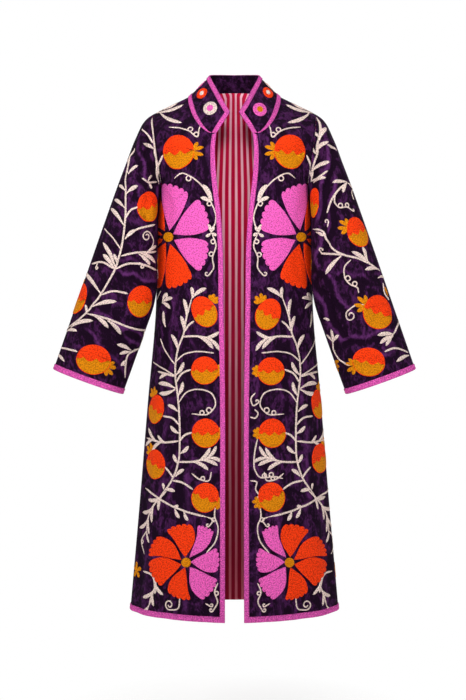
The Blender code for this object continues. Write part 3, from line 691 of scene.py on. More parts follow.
# %% The groups
def make_pile():
    tree, given, out = group("crushed pile", [("Vector", "Vector", None)], [("Lie", "Float"), ("Height", "Float")])
    long = stretched(tree, given.outputs["Vector"], (1.0, 1.0, 0.62))
    broad = noise(tree, long, 30.0, 5.0, 2.0)
    small = noise(tree, long, 150.0, 4.0, 1.0)
    both = math(tree, "ADD", math(tree, "MULTIPLY", broad, 0.55), math(tree, "MULTIPLY", small, 0.45))
    lie_and_painted_light = between(tree, both, 0.475, 0.64)
    grain = noise(tree, given.outputs["Vector"], 900.0, 2.0)
    lie_and_painted_light = math(tree, "MULTIPLY", lie_and_painted_light, between(tree, grain, 0.3, 0.7, 0.65, 1.0))
    tree.links.new(lie_and_painted_light, out.inputs["Lie"])
    height = math(tree, "ADD", math(tree, "MULTIPLY", both, 1.0), math(tree, "MULTIPLY", grain, 0.1))
    tree.links.new(height, out.inputs["Height"])
    return tree


def make_stitch():
    """Row number and place within the row come from the map's second axis, the stitches from its first."""
    tree, given, out = group(
        "chain stitch",
        [("Vector", "Vector", None), ("Row", "Float", 0.0016), ("Stitch", "Float", 0.0034), ("Waver", "Float", 1.6)],
        [("Height", "Float"), ("Gap", "Float"), ("Shade", "Float")],
    )
    vector = given.outputs["Vector"]
    along, across = split(tree, vector)
    waver = math(tree, "MULTIPLY", noise(tree, vector, 90.0, 2.0), given.outputs["Waver"])
    rows = math(tree, "ADD", math(tree, "DIVIDE", across, given.outputs["Row"]), waver)
    number = math(tree, "FLOOR", rows)
    place = math(tree, "SUBTRACT", math(tree, "MULTIPLY", math(tree, "FRACT", rows), 2.0), 1.0)
    row = math(tree, "SUBTRACT", 1.0, math(tree, "MULTIPLY", place, place))
    beat = math(tree, "ADD", math(tree, "DIVIDE", along, given.outputs["Stitch"]),
                math(tree, "MULTIPLY", number, 0.37))
    pull = math(tree, "SINE", math(tree, "MULTIPLY", beat, 6.2832))
    pull = between(tree, pull, -1.0, 1.0, 0.55, 1.0)
    height = math(tree, "MULTIPLY", row, pull)
    tree.links.new(height, out.inputs["Height"])
    tree.links.new(between(tree, height, 0.1, 0.45, 1.0, 0.0), out.inputs["Gap"])
    tree.links.new(noise(tree, vector, 330.0, 2.0), out.inputs["Shade"])
    return tree


def make_loops():
    """The loops slant one way on one half of the braid and the other way on the other half."""
    tree, given, out = group(
        "braid loops",
        [("Vector", "Vector", None), ("Width", "Float", EDGE_BRAID), ("Loop", "Float", 0.0048)],
        [("Height", "Float"), ("Gap", "Float"), ("Shade", "Float")],
    )
    vector = given.outputs["Vector"]
    along, across = split(tree, vector)
    share = math(tree, "DIVIDE", across, given.outputs["Width"])
    side = math(tree, "ABSOLUTE", math(tree, "SUBTRACT", share, 0.5))
    jitter = math(tree, "MULTIPLY", noise(tree, vector, 140.0, 2.0), 0.7)
    beat = math(tree, "ADD", math(tree, "DIVIDE", along, given.outputs["Loop"]), math(tree, "MULTIPLY", side, 1.8))
    beat = math(tree, "ADD", beat, jitter)
    loop = math(tree, "ABSOLUTE", math(tree, "SINE", math(tree, "MULTIPLY", beat, 3.1416)))
    strand = math(tree, "ABSOLUTE", math(tree, "SINE", math(tree, "MULTIPLY", side, 15.0)))
    height = math(tree, "MULTIPLY", between(tree, loop, 0.0, 0.8), between(tree, strand, 0.0, 1.0, 0.6, 1.0))
    tree.links.new(height, out.inputs["Height"])
    # The gap mask is partly the braid's own dark specks and partly painted shade, deeper where the loops are low and
    # at the braid's edges.
    holes = between(tree, noise(tree, vector, 330.0, 0.0), 0.44, 0.56)
    rim = between(tree, side, 0.3, 0.5)
    gap = math(tree, "MULTIPLY", between(tree, height, 0.05, 0.6, 1.0, 0.35), holes)
    gap = math(tree, "MULTIPLY", gap, between(tree, rim, 0.0, 1.0, 0.7, 1.0))
    tree.links.new(gap, out.inputs["Gap"])
    tree.links.new(noise(tree, vector, 300.0, 2.0), out.inputs["Shade"])
    return tree


def make_weave():
    tree, given, out = group(
        "weave", [("Vector", "Vector", None), ("Thread", "Float", 0.0007)], [("Height", "Float"), ("Slub", "Float")]
    )
    along, across = split(tree, given.outputs["Vector"])
    first = math(tree, "SINE", math(tree, "DIVIDE", math(tree, "MULTIPLY", along, 6.2832), given.outputs["Thread"]))
    second = math(tree, "SINE", math(tree, "DIVIDE", math(tree, "MULTIPLY", across, 6.2832), given.outputs["Thread"]))
    tree.links.new(math(tree, "MULTIPLY", first, second), out.inputs["Height"])
    long = stretched(tree, given.outputs["Vector"], (90.0, 4.0, 1.0))
    tree.links.new(noise(tree, long, 3.0, 3.0), out.inputs["Slub"])
    return tree


pile_group, stitch_group, loop_group, weave_group = make_pile(), make_stitch(), make_loops(), make_weave()
print("node groups:", [g.name for g in (pile_group, stitch_group, loop_group, weave_group)])

# %% [markdown]
# ## The materials
# Velvet is dark where one looks into the pile and paler where the pile lies over, so two colours are mixed by
# the pile's mask, and the creases add a painted highlight on their flanks and ridges and painted shade in their
# valleys. Thread is mixed with a deeper tone of itself in the gaps between the rows, a painted shade. The
# striped lining is drawn from the map's first axis, which runs across it, and darkens towards the bottom, a
# painted shade inside the coat.

# %% Velvet, lining, thread and braid
# The deep colour is also the painted shade in crease valleys, the laid colour also a painted highlight on crease
# flanks, and the ridge colour a painted highlight.
VELVET_DEEP_AND_SHADE = srgb(20, 3, 22)
VELVET_LAID_AND_HIGHLIGHT = srgb(74, 30, 80)
VELVET_RIDGE_HIGHLIGHT = srgb(84, 38, 90)
CRIMSON = srgb(212, 22, 66)
STRIPE_PALE = srgb(250, 196, 214)
THREADS = {
    "thread_cream": srgb(238, 214, 204),
    "thread_pink": srgb(240, 98, 188),
    "thread_orange": srgb(250, 62, 12),
    "thread_mustard": srgb(220, 134, 6),
}
BRAID_PINK = srgb(234, 94, 184)
STRIPE_PITCH = 0.0152


def shader(name, rough):
    """A material with a Principled shader and its even values; gives the tree, the shader and the coordinates."""
    made = bpy.data.materials.new(name)
    made.use_nodes = True
    tree = made.node_tree
    principled = tree.nodes["Principled BSDF"]
    principled.inputs["Roughness"].default_value = rough
    principled.inputs["Specular IOR Level"].default_value = 0.06
    return made, tree, principled, tree.nodes.new("ShaderNodeTexCoord")


def placed(tree, made_group, vector, **values):
    node = tree.nodes.new("ShaderNodeGroup")
    node.node_tree = made_group
    tree.links.new(vector, node.inputs["Vector"])
    for title, value in values.items():
        node.inputs[title].default_value = value
    return node.outputs


def mixed(tree, mask, first, second):
    """Two colours, or two colour outputs, mixed by a mask."""
    node = tree.nodes.new("ShaderNodeMix")
    node.data_type = "RGBA"
    for title, value in (("A", first), ("B", second)):
        socket = [s for s in node.inputs if s.name == title and s.type == "RGBA"][0]
        if isinstance(value, tuple):
            socket.default_value = value
        else:
            tree.links.new(value, socket)
    tree.links.new(mask, node.inputs["Factor"])
    return [s for s in node.outputs if s.type == "RGBA"][0]


def bumped(tree, principled, height, distance):
    node = tree.nodes.new("ShaderNodeBump")
    node.inputs["Distance"].default_value = distance
    tree.links.new(height, node.inputs["Height"])
    tree.links.new(node.outputs["Normal"], principled.inputs["Normal"])


def deeper(colour, share):
    return (*(c * share for c in colour[:3]), 1.0)


def velvet_material():
    made, tree, principled, place = shader("velvet", 0.9)
    pile = placed(tree, pile_group, place.outputs["Object"])
    # The creases' painted highlight and painted shade, read from the cloth.
    crease = tree.nodes.new("ShaderNodeAttribute")
    crease.attribute_name = "lie_and_painted_light"
    lie_and_painted_light = math(tree, "ADD", pile["Lie"], math(tree, "MULTIPLY", crease.outputs["Fac"], 0.6))
    cloth = mixed(tree, between(tree, lie_and_painted_light, 0.0, 1.0), VELVET_DEEP_AND_SHADE, VELVET_LAID_AND_HIGHLIGHT)
    # A painted highlight on a crease's lit flank or ridge, where the pile stands high.
    ridge = math(tree, "MULTIPLY", between(tree, crease.outputs["Fac"], 0.3, 1.1),
                 between(tree, pile["Height"], 0.46, 0.62))
    tree.links.new(mixed(tree, ridge, cloth, VELVET_RIDGE_HIGHLIGHT), principled.inputs["Base Color"])
    bumped(tree, principled, pile["Height"], 0.01)
    return made


def lining_material():
    made, tree, principled, place = shader("lining", 0.75)
    weave = placed(tree, weave_group, place.outputs["UV"])
    across, up = split(tree, place.outputs["UV"])
    beat = math(tree, "FRACT", math(tree, "ADD", math(tree, "DIVIDE", across, STRIPE_PITCH), 0.21))
    stripe = between(tree, math(tree, "ABSOLUTE", math(tree, "SUBTRACT", beat, 0.5)), 0.17, 0.23, 1.0, 0.0)
    stripe = math(tree, "MULTIPLY", stripe, between(tree, weave["Slub"], 0.3, 0.7, 0.72, 1.0))
    ground = mixed(tree, between(tree, weave["Slub"], 0.35, 0.65), deeper(CRIMSON, 0.8), CRIMSON)
    striped = mixed(tree, stripe, ground, STRIPE_PALE)
    # Darker towards the bottom: painted shade inside the coat, where less light comes in.
    painted_shade_low = mixed(tree, stripe, deeper(CRIMSON, 0.3), srgb(176, 88, 102))
    tree.links.new(mixed(tree, between(tree, up, -1.1, -0.25), painted_shade_low, striped), principled.inputs["Base Color"])
    bumped(tree, principled, weave["Height"], 0.0002)
    return made


def thread_material(name, colour, row=0.0024, stitch=0.0048, waver=1.4):
    made, tree, principled, place = shader(name, 0.7)
    stitches = placed(tree, stitch_group, place.outputs["UV"], Row=row, Stitch=stitch, Waver=waver)
    tinted = mixed(tree, between(tree, stitches["Shade"], 0.38, 0.55), deeper(colour, 0.46), colour)
    # Painted shade in the gaps between the stitch rows.
    tree.links.new(mixed(tree, stitches["Gap"], tinted, deeper(colour, 0.3)), principled.inputs["Base Color"])
    bumped(tree, principled, stitches["Height"], 0.0009)
    return made


def braid_material(name, width):
    made, tree, principled, place = shader(name, 0.75)
    loops = placed(tree, loop_group, place.outputs["UV"], Width=width)
    tinted = mixed(tree, between(tree, loops["Shade"], 0.35, 0.65), deeper(BRAID_PINK, 0.52), BRAID_PINK)
    # The gaps: the braid's own dark specks, and painted shade between the loops and at its edges.
    tree.links.new(mixed(tree, loops["Gap"], tinted, srgb(84, 24, 82)), principled.inputs["Base Color"])
    bumped(tree, principled, loops["Height"], 0.0012)
    return made


velvet, lining = velvet_material(), lining_material()
threads = [thread_material(name, colour) for name, colour in THREADS.items()]
edge_braid, hem_braid = braid_material("braid_edge", EDGE_BRAID), braid_material("braid_hem", HEM_BRAID)
CREAM, PINK, ORANGE, MUSTARD = range(4)
print("materials:", [m.name for m in (velvet, lining, *threads, edge_braid, hem_braid)])

# %% [markdown]
# ## The coat's cloth
# Five panels and the collar are made from the surfaces above. Each piece hides the plain solid that it stands
# for. The map on each panel is its flat place in metres, so the stripes of the lining keep their true width.
# The back's two halves share the points of the centre back, and part where the neckline begins.

# %% Fronts, sleeves and collar
def panel_map(points, start, up):
    return np.stack([run_lengths(points, start), up], axis=-1)


pieces = {}
NAMES = {-1: "right", 1: "left"}
for side, name in NAMES.items():
    level, points, normals, inwards = front_shape[side]
    flat = panel_map(points, points[:, :1, 0], points[..., 2])
    outer = mirrored(points, side)
    pieces[f"front_{name}"] = cloth_wall(
        f"velvet_front_{name}", outer, mirrored(points + inwards * CLOTH, side),
        grid_cells(points.shape[0] - 1, points.shape[1] - 1), flat, [velvet, lining], painted_light_of_creases["front", side])
    points, normals, inwards = sleeve_shape[side]
    flat = panel_map(points, 0.0, points[..., 2])
    pieces[f"sleeve_{name}"] = cloth_wall(
        f"velvet_sleeve_{name}", mirrored(points, side), mirrored(points + inwards * CLOTH, side),
        grid_cells(points.shape[0] - 1, points.shape[1], wrap=True), flat, [velvet, lining], painted_light_of_creases["sleeve", side])


def whole_collar(values):
    """The right half turned over, then the left half from the centre back outwards."""
    return np.concatenate([mirrored(values[-1], -1), values[1][:, -2::-1]], axis=1)


collar_points, collar_normals, collar_inwards = (
    whole_collar({side: collar_shape[side][k] for side in NAMES}) for k in range(3)
)
flat = panel_map(collar_points, 0.0, collar_points[..., 2])
pieces["collar"] = cloth_wall(
    "velvet_collar", collar_points, collar_points + collar_inwards * CLOTH,
    grid_cells(collar_points.shape[0] - 1, collar_points.shape[1] - 1), flat, [velvet])
print({name: len(o.data.polygons) for name, o in pieces.items()})

# %% The back and its lining
def both_halves(values):
    """The left half's values, then the right half's, as one list."""
    return np.concatenate([values[1].reshape(-1, 3), mirrored(values[-1], -1).reshape(-1, 3)])


level, half_points = back_shape[1][:2]
rows, columns = half_points.shape[0] - 1, half_points.shape[1] - 1
left_cells = grid_cells(rows, columns)
right_cells = left_cells + half_points.shape[0] * half_points.shape[1]
shared = np.flatnonzero(level <= BACK_NECK_AT + 1e-9) * (columns + 1)
turn_to = np.arange(2 * half_points.shape[0] * half_points.shape[1])
turn_to[shared + half_points.shape[0] * half_points.shape[1]] = shared
back_cells = np.concatenate([left_cells, turn_to[right_cells]])
back_outer, back_inwards = (both_halves({s: back_shape[s][k] for s in NAMES}) for k in (1, 3))
flat = np.concatenate([
    np.stack([run_lengths(half, half[:, :1, 0]) * s, half[..., 2]], axis=-1).reshape(-1, 2)
    for s, half in ((1, back_shape[1][1]), (-1, back_shape[-1][1]))
])
pieces["back"] = cloth_wall("velvet_back", back_outer, back_outer + back_inwards * CLOTH, back_cells, flat,
                            [velvet], np.concatenate([painted_light_of_creases["back", s].ravel() for s in (1, -1)]))
near, far = CLOTH + GAP, CLOTH + GAP + LINING
pieces["back_lining"] = cloth_wall(
    "lining_back", back_outer + back_inwards * near, back_outer + back_inwards * far, back_cells, flat, [lining])
print("back", len(pieces["back"].data.polygons), "faces")

# %% [markdown]
# ## Laying the panels flat
# Embroidery is drawn on flat cloth before the coat is sewn. So each panel gets a flat chart: slices through it
# at even heights, each measured along the cloth from one line that keeps its own place. A flat spot is then
# looked up in the chart, and gives a place and a direction on the shaped cloth. Drawing on the chart keeps
# circles round where the cloth turns away, as on the real coat, and a spot past the edge stops at the edge.

# %% Charts
CHART_STEP = 0.0028


def make_chart(points, normals, along, across, zero_column, straight=False):
    """Slices of a panel at even distances along one direction (x, z), and even steps of cloth along each.
    The zero column keeps its own distance across, and the others are as far from it as the cloth is long. A
    straight chart keeps every column's own distance, so it is true to the view and not to the cloth."""
    along, across = np.array([along[0], 0, along[1]]), np.array([across[0], 0, across[1]])
    rise = np.maximum.accumulate(points @ along, axis=0)
    heights = np.arange(rise.min(), rise.max() + CHART_STEP, CHART_STEP)
    values = np.concatenate([points, normals], axis=-1)
    slices = np.stack([sampled(heights, rise[:, j], values[:, j]) for j in range(points.shape[1])], axis=1)
    run = run_lengths(slices[..., :3])
    run += (slices[:, zero_column, :3] @ across - run[:, zero_column])[:, None]
    if straight:
        run = np.maximum.accumulate(slices[..., :3] @ across, axis=1)
    widths = np.arange(run.min(), run.max() + CHART_STEP, CHART_STEP)
    even = np.stack([sampled(widths, run[i], slices[i]) for i in range(len(heights))])
    return {"values": even, "low": np.array([widths[0], heights[0]]), "along": along, "across": across}


def looked_up(chart, places):
    """Points and normals at flat places (across, along), mixed from the four nearest entries of the chart."""
    values = chart["values"]
    at = (places - chart["low"]) / CHART_STEP
    column = np.clip(at[:, 0], 0, values.shape[1] - 1.001)
    row = np.clip(at[:, 1], 0, values.shape[0] - 1.001)
    c, r = column.astype(int), row.astype(int)
    fc, fr = (column - c)[:, None], (row - r)[:, None]
    found = (
        values[r, c] * (1 - fr) * (1 - fc) + values[r, c + 1] * (1 - fr) * fc
        + values[r + 1, c] * fr * (1 - fc) + values[r + 1, c + 1] * fr * fc
    )
    return found[:, :3], unit(found[:, 3:])


def directions(work):
    """The chart's two directions as seen from the front, turned over for the right side."""
    turn = np.array([work["side"], 1.0])
    return work["chart"]["across"][[0, 2]] * turn, work["chart"]["along"][[0, 2]] * turn


def on_cloth(work, flat, lift):
    """Flat spots (x, z), as seen from the front, set on the cloth and raised by lift."""
    across, along = directions(work)
    points, normals = looked_up(work["chart"], np.stack([flat @ across, flat @ along], axis=-1))
    return mirrored(points + normals * lift[:, None], work["side"])


def seen(work, *spots):
    """Flat places of spots of the 466 x 700 picture. The line of sight through a spot meets the cloth at a
    depth found in four rounds: a depth gives a place, and the place on the cloth gives a better depth."""
    across, along = directions(work)
    chart, found = work["chart"], []
    for right, down in spots:
        depth = -0.09
        for _ in range(4):
            reach = (EYE_DISTANCE + depth) / FOCAL
            spot = np.array([(right - 234.5) * reach, EYE_HEIGHT + (PICTURE_HIGH / 2 - down) * reach])
            rise, width = spot @ along, spot @ across
            row = int(np.clip(round((rise - chart["low"][1]) / CHART_STEP), 0, len(chart["values"]) - 1))
            line = chart["values"][row]
            front = np.flatnonzero(line[:, 4] < 0.15)
            front = front[front <= front[np.argmax(line[front] [:, :3] @ chart["across"])]]
            widths = chart["low"][0] + front * CHART_STEP
            place = float(np.interp(width, np.maximum.accumulate(line[front, :3] @ chart["across"]), widths))
            depth = float(np.interp(place, widths, line[front, 1]))
        found.append(across * place + along * rise)
    return np.array(found)


def new_work(chart, side):
    """What is stitched on one panel: blocks of flat spots, lifts, stitch maps, faces and thread numbers."""
    return {"chart": chart, "side": side, "flat": [], "lift": [], "map": [], "faces": [], "marks": [], "count": 0}


SLEEVE_DOWN = unit(np.array([0.3308, -0.9437]))
SLEEVE_OUT = np.array([-SLEEVE_DOWN[1], SLEEVE_DOWN[0]])


def sleeve_chart(side, middle):
    """A sleeve's chart, cut open opposite its middle column: a quarter turn is the front, three are the back."""
    points, normals = sleeve_shape[side][:2]
    columns = points.shape[1]
    order = (middle + columns // 2 - np.arange(columns + 1)) % columns
    return make_chart(points[:, order], normals[:, order], SLEEVE_DOWN, SLEEVE_OUT, columns // 2)


works = {}
for side, name in NAMES.items():
    works[f"front_{name}"] = new_work(make_chart(*front_shape[side][1:3], (0, 1), (1, 0), 0), side)
    quarter = sleeve_shape[side][0].shape[1] // 4
    works[f"sleeve_{name}"] = new_work(sleeve_chart(side, quarter), side)
    works[f"sleeve_back_{name}"] = new_work(sleeve_chart(side, 3 * quarter), side)
whole_back = [np.concatenate([mirrored(back_shape[-1][k][:, :0:-1], -1), back_shape[1][k]], axis=1) for k in (1, 2)]
works["back"] = new_work(make_chart(*whole_back, (0, 1), (1, 0), whole_back[0].shape[1] // 2), 1)
for side, name in NAMES.items():
    forward = [values[:, :int(0.68 * values.shape[1])] for values in collar_shape[side][:2]]
    works[f"collar_{name}"] = new_work(make_chart(*forward, (0, 1), (1, 0), 0, straight=True), side)
print({name: w["chart"]["values"].shape[:2] for name, w in works.items()})

# %% [markdown]
# ## Two ways to stitch
# All of the embroidery is made of two shapes. A filled shape is a low dome over an outline: rings of the
# outline shrink towards a centre while they rise. A stroke is a rounded ribbon carried along a path, whose
# width changes on the way: a stem, a leaf, a tendril with loops. Each is closed below, a little inside the
# velvet, and has a map whose rows the chain-stitch finish follows.

# %% Filled shapes and strokes
DOME_SCALE = np.array([1.0, 1.0, 0.985, 0.95, 0.86, 0.74, 0.61, 0.47, 0.33, 0.18])
DOME_RISE = np.array([-0.5, 0.35, 0.72, 0.93, 1.0, 1.0, 1.0, 1.0, 1.0, 1.0])


def lay(work, flat, lift, stitch_map, faces, thread):
    """Adds one block of stitching to a panel's work."""
    work["flat"].append(flat)
    work["lift"].append(lift)
    work["map"].append(stitch_map)
    for block in faces:
        work["faces"].append(block + work["count"])
        work["marks"].append(np.full(len(block), thread))
    work["count"] += len(flat)


def filled(work, outline, centre, thread, height=0.0011, rows_towards=90.0):
    """A dome over a closed outline: ring k is the outline scaled about the centre by DOME_SCALE[k] at height
    DOME_RISE[k]. Stitch rows lie across the given direction."""
    centre, count = np.asarray(centre, float), len(outline)
    rings = centre + (outline[None] - centre) * DOME_SCALE[:, None, None]
    flat = np.concatenate([rings.reshape(-1, 2), centre[None], centre[None]])
    lift = np.concatenate([np.repeat(DOME_RISE, count), [1.0, -0.5]]) * height
    way = np.array([np.cos(np.radians(rows_towards)), np.sin(np.radians(rows_towards))])
    stitch_map = np.stack([flat @ np.array([-way[1], way[0]]), flat @ way], axis=-1)
    top, foot = len(flat) - 2, len(flat) - 1
    i = np.arange(count)
    last = (len(DOME_SCALE) - 1) * count
    caps = [np.stack([last + i, last + (i + 1) % count, np.full(count, top)], axis=-1),
            np.stack([(i + 1) % count, i, np.full(count, foot)], axis=-1)]
    lay(work, flat, lift, stitch_map, [grid_cells(len(DOME_SCALE) - 1, count, wrap=True), *caps], thread)


RIBBON_SIDE = np.array([-1.0, -0.78, 0.0, 0.78, 1.0])
RIBBON_RISE = np.array([-0.45, 0.62, 1.0, 0.62, -0.45])


def stroke(work, path, widths, thread, height=0.001):
    """A rounded ribbon: the profile of five points is set across the path at each of its points, as wide as
    given, and its two ends are closed by shrinking them to nothing."""
    path = np.asarray(path, float)
    way = unit(np.gradient(path, axis=0))
    side = np.stack([-way[:, 1], way[:, 0]], axis=-1)
    widths = np.asarray(widths, float)
    flat = path[:, None] + side[:, None] * (RIBBON_SIDE * widths[:, None] / 2)[..., None]
    thin = np.clip(widths / 0.0022, 0.35, 1.0)
    lift = RIBBON_RISE * height * thin[:, None]
    run = path_run(path)
    stitch_map = np.stack([np.broadcast_to(run[:, None], lift.shape), RIBBON_SIDE * widths[:, None] / 2], axis=-1)
    count = len(path)
    start = np.array([[0, 1, 4], [1, 2, 3], [1, 3, 4]])
    stop = start[:, ::-1] + (count - 1) * 5
    lay(work, flat.reshape(-1, 2), lift.reshape(-1), stitch_map.reshape(-1, 2),
        [grid_cells(count - 1, 5, wrap=True), start, stop], thread)


def curve(spots, step=0.0026):
    """A smooth path through spots: a cubic for each coordinate over the length so far, in even short steps."""
    spots = np.asarray(spots, float)
    run = path_run(spots)
    if len(spots) == 2:
        count = max(3, int(run[-1] / step))
        return spots[0] + (spots[1] - spots[0]) * np.linspace(0, 1, count)[:, None]
    return smooth(np.column_stack([run, spots]), np.linspace(0, run[-1], max(4, int(run[-1] / step))))


print("a dome has", len(DOME_SCALE), "rings, a ribbon", len(RIBBON_SIDE), "points across")

# %% [markdown]
# ## Leaves, stems and tendrils
# The cream lines are three kinds of stroke. A leaf is narrow where it leaves the stem and ends blunt and
# round. A stem is even and thins out at its tip. A tendril is a thin line that turns round in small loops: at
# a loop the path leaves along a full circle that touches it, so the line stays smooth.

# %% The cream line work
STEM, TENDRIL, LEAF = 0.005, 0.0035, 0.0102


def taper(count, width, start=0.35, end=0.35, share=0.08):
    """An even width that narrows at both ends."""
    t = np.linspace(0, 1, count)
    return width * np.minimum(1, np.minimum(start + (1 - start) * t / share, end + (1 - end) * (1 - t) / share))


def leaf(work, root, tip, width=LEAF, bend=0.1, thread=CREAM):
    """A club: the width grows as a smooth step from the root, and the last part closes as a blunt point."""
    root, tip = np.asarray(root, float), np.asarray(tip, float)
    span = tip - root
    t = np.linspace(0, 1, 12) ** 0.85
    path = root + span * t[:, None] + np.array([-span[1], span[0]]) * (bend * np.sin(np.pi * t))[:, None]
    body = 0.34 + 0.66 * ease(t / 0.55)
    close = np.clip(1 - (np.clip((t - 0.66) / 0.34, 0, 1)) ** 2, 0.02, 1) ** 0.62
    stroke(work, path, width * body * close, thread)


def stem(work, spots, width=STEM):
    path = curve(spots)
    stroke(work, path, taper(len(path), width), CREAM)
    return path


def tendril(work, spots, loops=(), curl=None, width=TENDRIL):
    """A thin line with loops (share of the way, radius, side) and, if asked, an end that winds in (radius,
    turns, side). Side 1 turns left and -1 right."""
    path = curve(spots, 0.0022)
    pieces_of_path, last = [], 0
    way = unit(np.gradient(path, axis=0))
    for share, radius, side in loops:
        k = int(share * (len(path) - 1))
        out = np.array([-way[k, 1], way[k, 0]]) * side
        a = np.linspace(0, 2 * np.pi, 18)[1:-1]
        ring = path[k] + out * (radius * (1 - np.cos(a)))[:, None] + way[k] * (radius * np.sin(a))[:, None]
        pieces_of_path += [path[last:k + 1], ring]
        last = k + 1
    pieces_of_path.append(path[last:])
    if curl:
        radius, turns, side = curl
        out = np.array([-way[-1, 1], way[-1, 0]]) * side
        a = np.linspace(0, 2 * np.pi * turns, int(26 * turns))[1:]
        shrink = radius * (1 - 0.72 * a / a[-1])
        hub = path[-1] + out * radius
        pieces_of_path.append(hub - out * (shrink * np.cos(a))[:, None] + way[-1] * (shrink * np.sin(a))[:, None])
    whole = np.concatenate(pieces_of_path)
    stroke(work, whole, taper(len(whole), width, 0.4, 0.5, 0.05), CREAM, 0.0008)


def leafy(work, spots, leaves, width=STEM, size=0.05, broad=LEAF, spread=33):
    """A stem with leaves. Each leaf is (share of the way, side, length factor), and leans from the stem's own
    direction by the spread, in degrees, to the left for side 1 and to the right for side -1."""
    path = stem(work, spots, width)
    way = unit(np.gradient(path, axis=0))
    for share, side, factor in leaves:
        k = int(np.clip(share, 0, 1) * (len(path) - 1))
        a = np.radians(spread * side)
        lean = np.array([way[k, 0] * np.cos(a) - way[k, 1] * np.sin(a), way[k, 0] * np.sin(a) + way[k, 1] * np.cos(a)])
        leaf(work, path[k], path[k] + lean * size * factor, broad * min(1, 0.55 + 0.45 * factor), -0.1 * side)
    return path


print("leaf width", LEAF, "stem", STEM, "tendril", TENDRIL)

# %% [markdown]
# ## Pomegranates and rosettes
# A pomegranate is an oval in two fields, orange above and mustard below, that meet along a waving line, with a
# mustard crown of blunt lobes. A rosette is a ring of wedge petals with scalloped ends round a mustard disc.

# %% The flowers and fruit
def oval(centre, wide, high, turn=0.0, count=44):
    """An ellipse's outline, turned by some degrees."""
    a = np.linspace(0, 2 * np.pi, count, endpoint=False)
    x, y = wide * np.cos(a), high * np.sin(a)
    c, s = np.cos(np.radians(turn)), np.sin(np.radians(turn))
    return np.asarray(centre) + np.stack([x * c - y * s, x * s + y * c], axis=-1)


def pomegranate(work, centre, wide, high, crown=None, tilt=0.0, wave=1.0, crown_size=1.0):
    """Each field's outline is half of the oval, from one side to the other, and back along the waving line: a
    row of scallops that hang from it, turned by the tilt. The crown has four lobes that spread."""
    centre = np.asarray(centre, float)
    if crown is not None:
        way = np.radians(crown)
        reach = np.hypot(wide * np.cos(way), high * np.sin(way)) * 0.9
        foot = centre + reach * np.array([np.cos(way), np.sin(way)])
        for off, length in ((-60, 0.88), (-21, 1.0), (19, 1.0), (58, 0.9)):
            lean = way + np.radians(off)
            tip = foot + 0.0265 * length * crown_size * np.array([np.cos(lean), np.sin(lean)])
            leaf(work, foot, tip, 0.0098, 0.05 * np.sign(off), MUSTARD)
    c, s = np.cos(np.radians(tilt)), np.sin(np.radians(tilt))
    turn = np.array([[c, s], [-s, c]])
    for field, thread, part, drop in ((1, ORANGE, 0.4, -0.0008), (-1, MUSTARD, -0.42, 0.0)):
        a = np.linspace(-0.02 * np.pi, 1.02 * np.pi, 34) if field > 0 else np.linspace(1.02 * np.pi, 1.98 * np.pi, 32)
        rim = np.stack([wide * np.cos(a), high * np.sin(a)], axis=-1)
        x = np.linspace(rim[-1, 0], rim[0, 0], 32)[1:-1]
        beat = np.abs(np.sin(np.pi * (x / wide * 1.3 + 0.22 * wave)))
        line = np.stack([x, high * (0.1 - 0.27 * beat * (1 - (x / wide) ** 8)) + drop], axis=-1)
        outline = np.concatenate([rim, line]) @ turn
        filled(work, centre + outline, centre + np.array([0, part * high]) @ turn, thread,
               0.0012 if field > 0 else 0.0014, 90 + tilt)
    lower = np.linspace(-1.0 * np.pi, 0.0, 30)
    edge = np.stack([wide * np.cos(lower), high * np.sin(lower)], axis=-1) @ turn
    stroke(work, centre + edge, taper(30, 0.0024), ORANGE, 0.0014)


def petal(work, place, start, end, radii, thread, lobes=5, inner=0.14):
    """A wedge between two angles. Its sides swell, so neighbours nearly touch half way out. Its outer end is a
    row of lobes: the radius goes from the first to the second of radii, less a dip between each two lobes and
    a fall at the corners. The place turns spots about the middle into flat places."""
    s = np.linspace(0, 1, 10 * lobes + 1)
    radius = radii[0] + (radii[1] - radii[0]) * s
    dip = 0.06 * (1 - np.abs(np.sin(np.pi * lobes * s)) ** 0.55)
    rounding = 0.06 * np.abs(2 * s - 1) ** 5 - 0.04
    radius = radius * (1 - dip - rounding)
    angle = np.radians(start + (end - start) * s)
    end_line = np.stack([np.cos(angle), np.sin(angle)], axis=-1) * radius[:, None]
    middle = np.radians((start + end) / 2)
    root = inner * radii[0] * np.array([np.cos(middle), np.sin(middle)])
    t = np.linspace(0, 1, 12)[1:-1, None]
    bow = 0.078 * np.sin(np.pi * t)
    out = end_line[-1] + (root - end_line[-1]) * t
    back = root + (end_line[0] - root) * t
    across = np.array([-np.sin(middle), np.cos(middle)]) * np.linalg.norm(end_line[0] - end_line[-1])
    outline = np.concatenate([end_line, out + across * bow, root[None], back - across * bow])
    fan = root + (end_line[len(s) // 2] - root) * 0.6
    flat = place(np.concatenate([outline, fan[None]]))
    filled(work, flat[:-1], flat[-1], thread, 0.0012, np.degrees(middle))


def rosette(work, place, petals, disc):
    """Petals given as (start, end, radius at the start, radius at the end, thread), then the disc."""
    for start, end, first, second, thread in petals:
        petal(work, place, start, end, (first, second), thread)
    flat = place(np.concatenate([oval((0, 0), disc, disc, count=26), [[0, 0]]]))
    filled(work, flat[:-1], flat[-1], MUSTARD, 0.0018)


print("a petal's outline has", 10 * 5 + 1 + 10 + 1 + 10, "points")

# %% [markdown]
# ## The fronts
# Both fronts carry the same design, turned over: fruit and a half-hidden rosette on the chest, a climbing vine
# with five fruits beside it, and a second rosette above the hem. It is stitched by hand, so the two sides
# differ a little. Places are given in spots of the picture, for the front on its left, and then turned over
# about a line that leans a little.

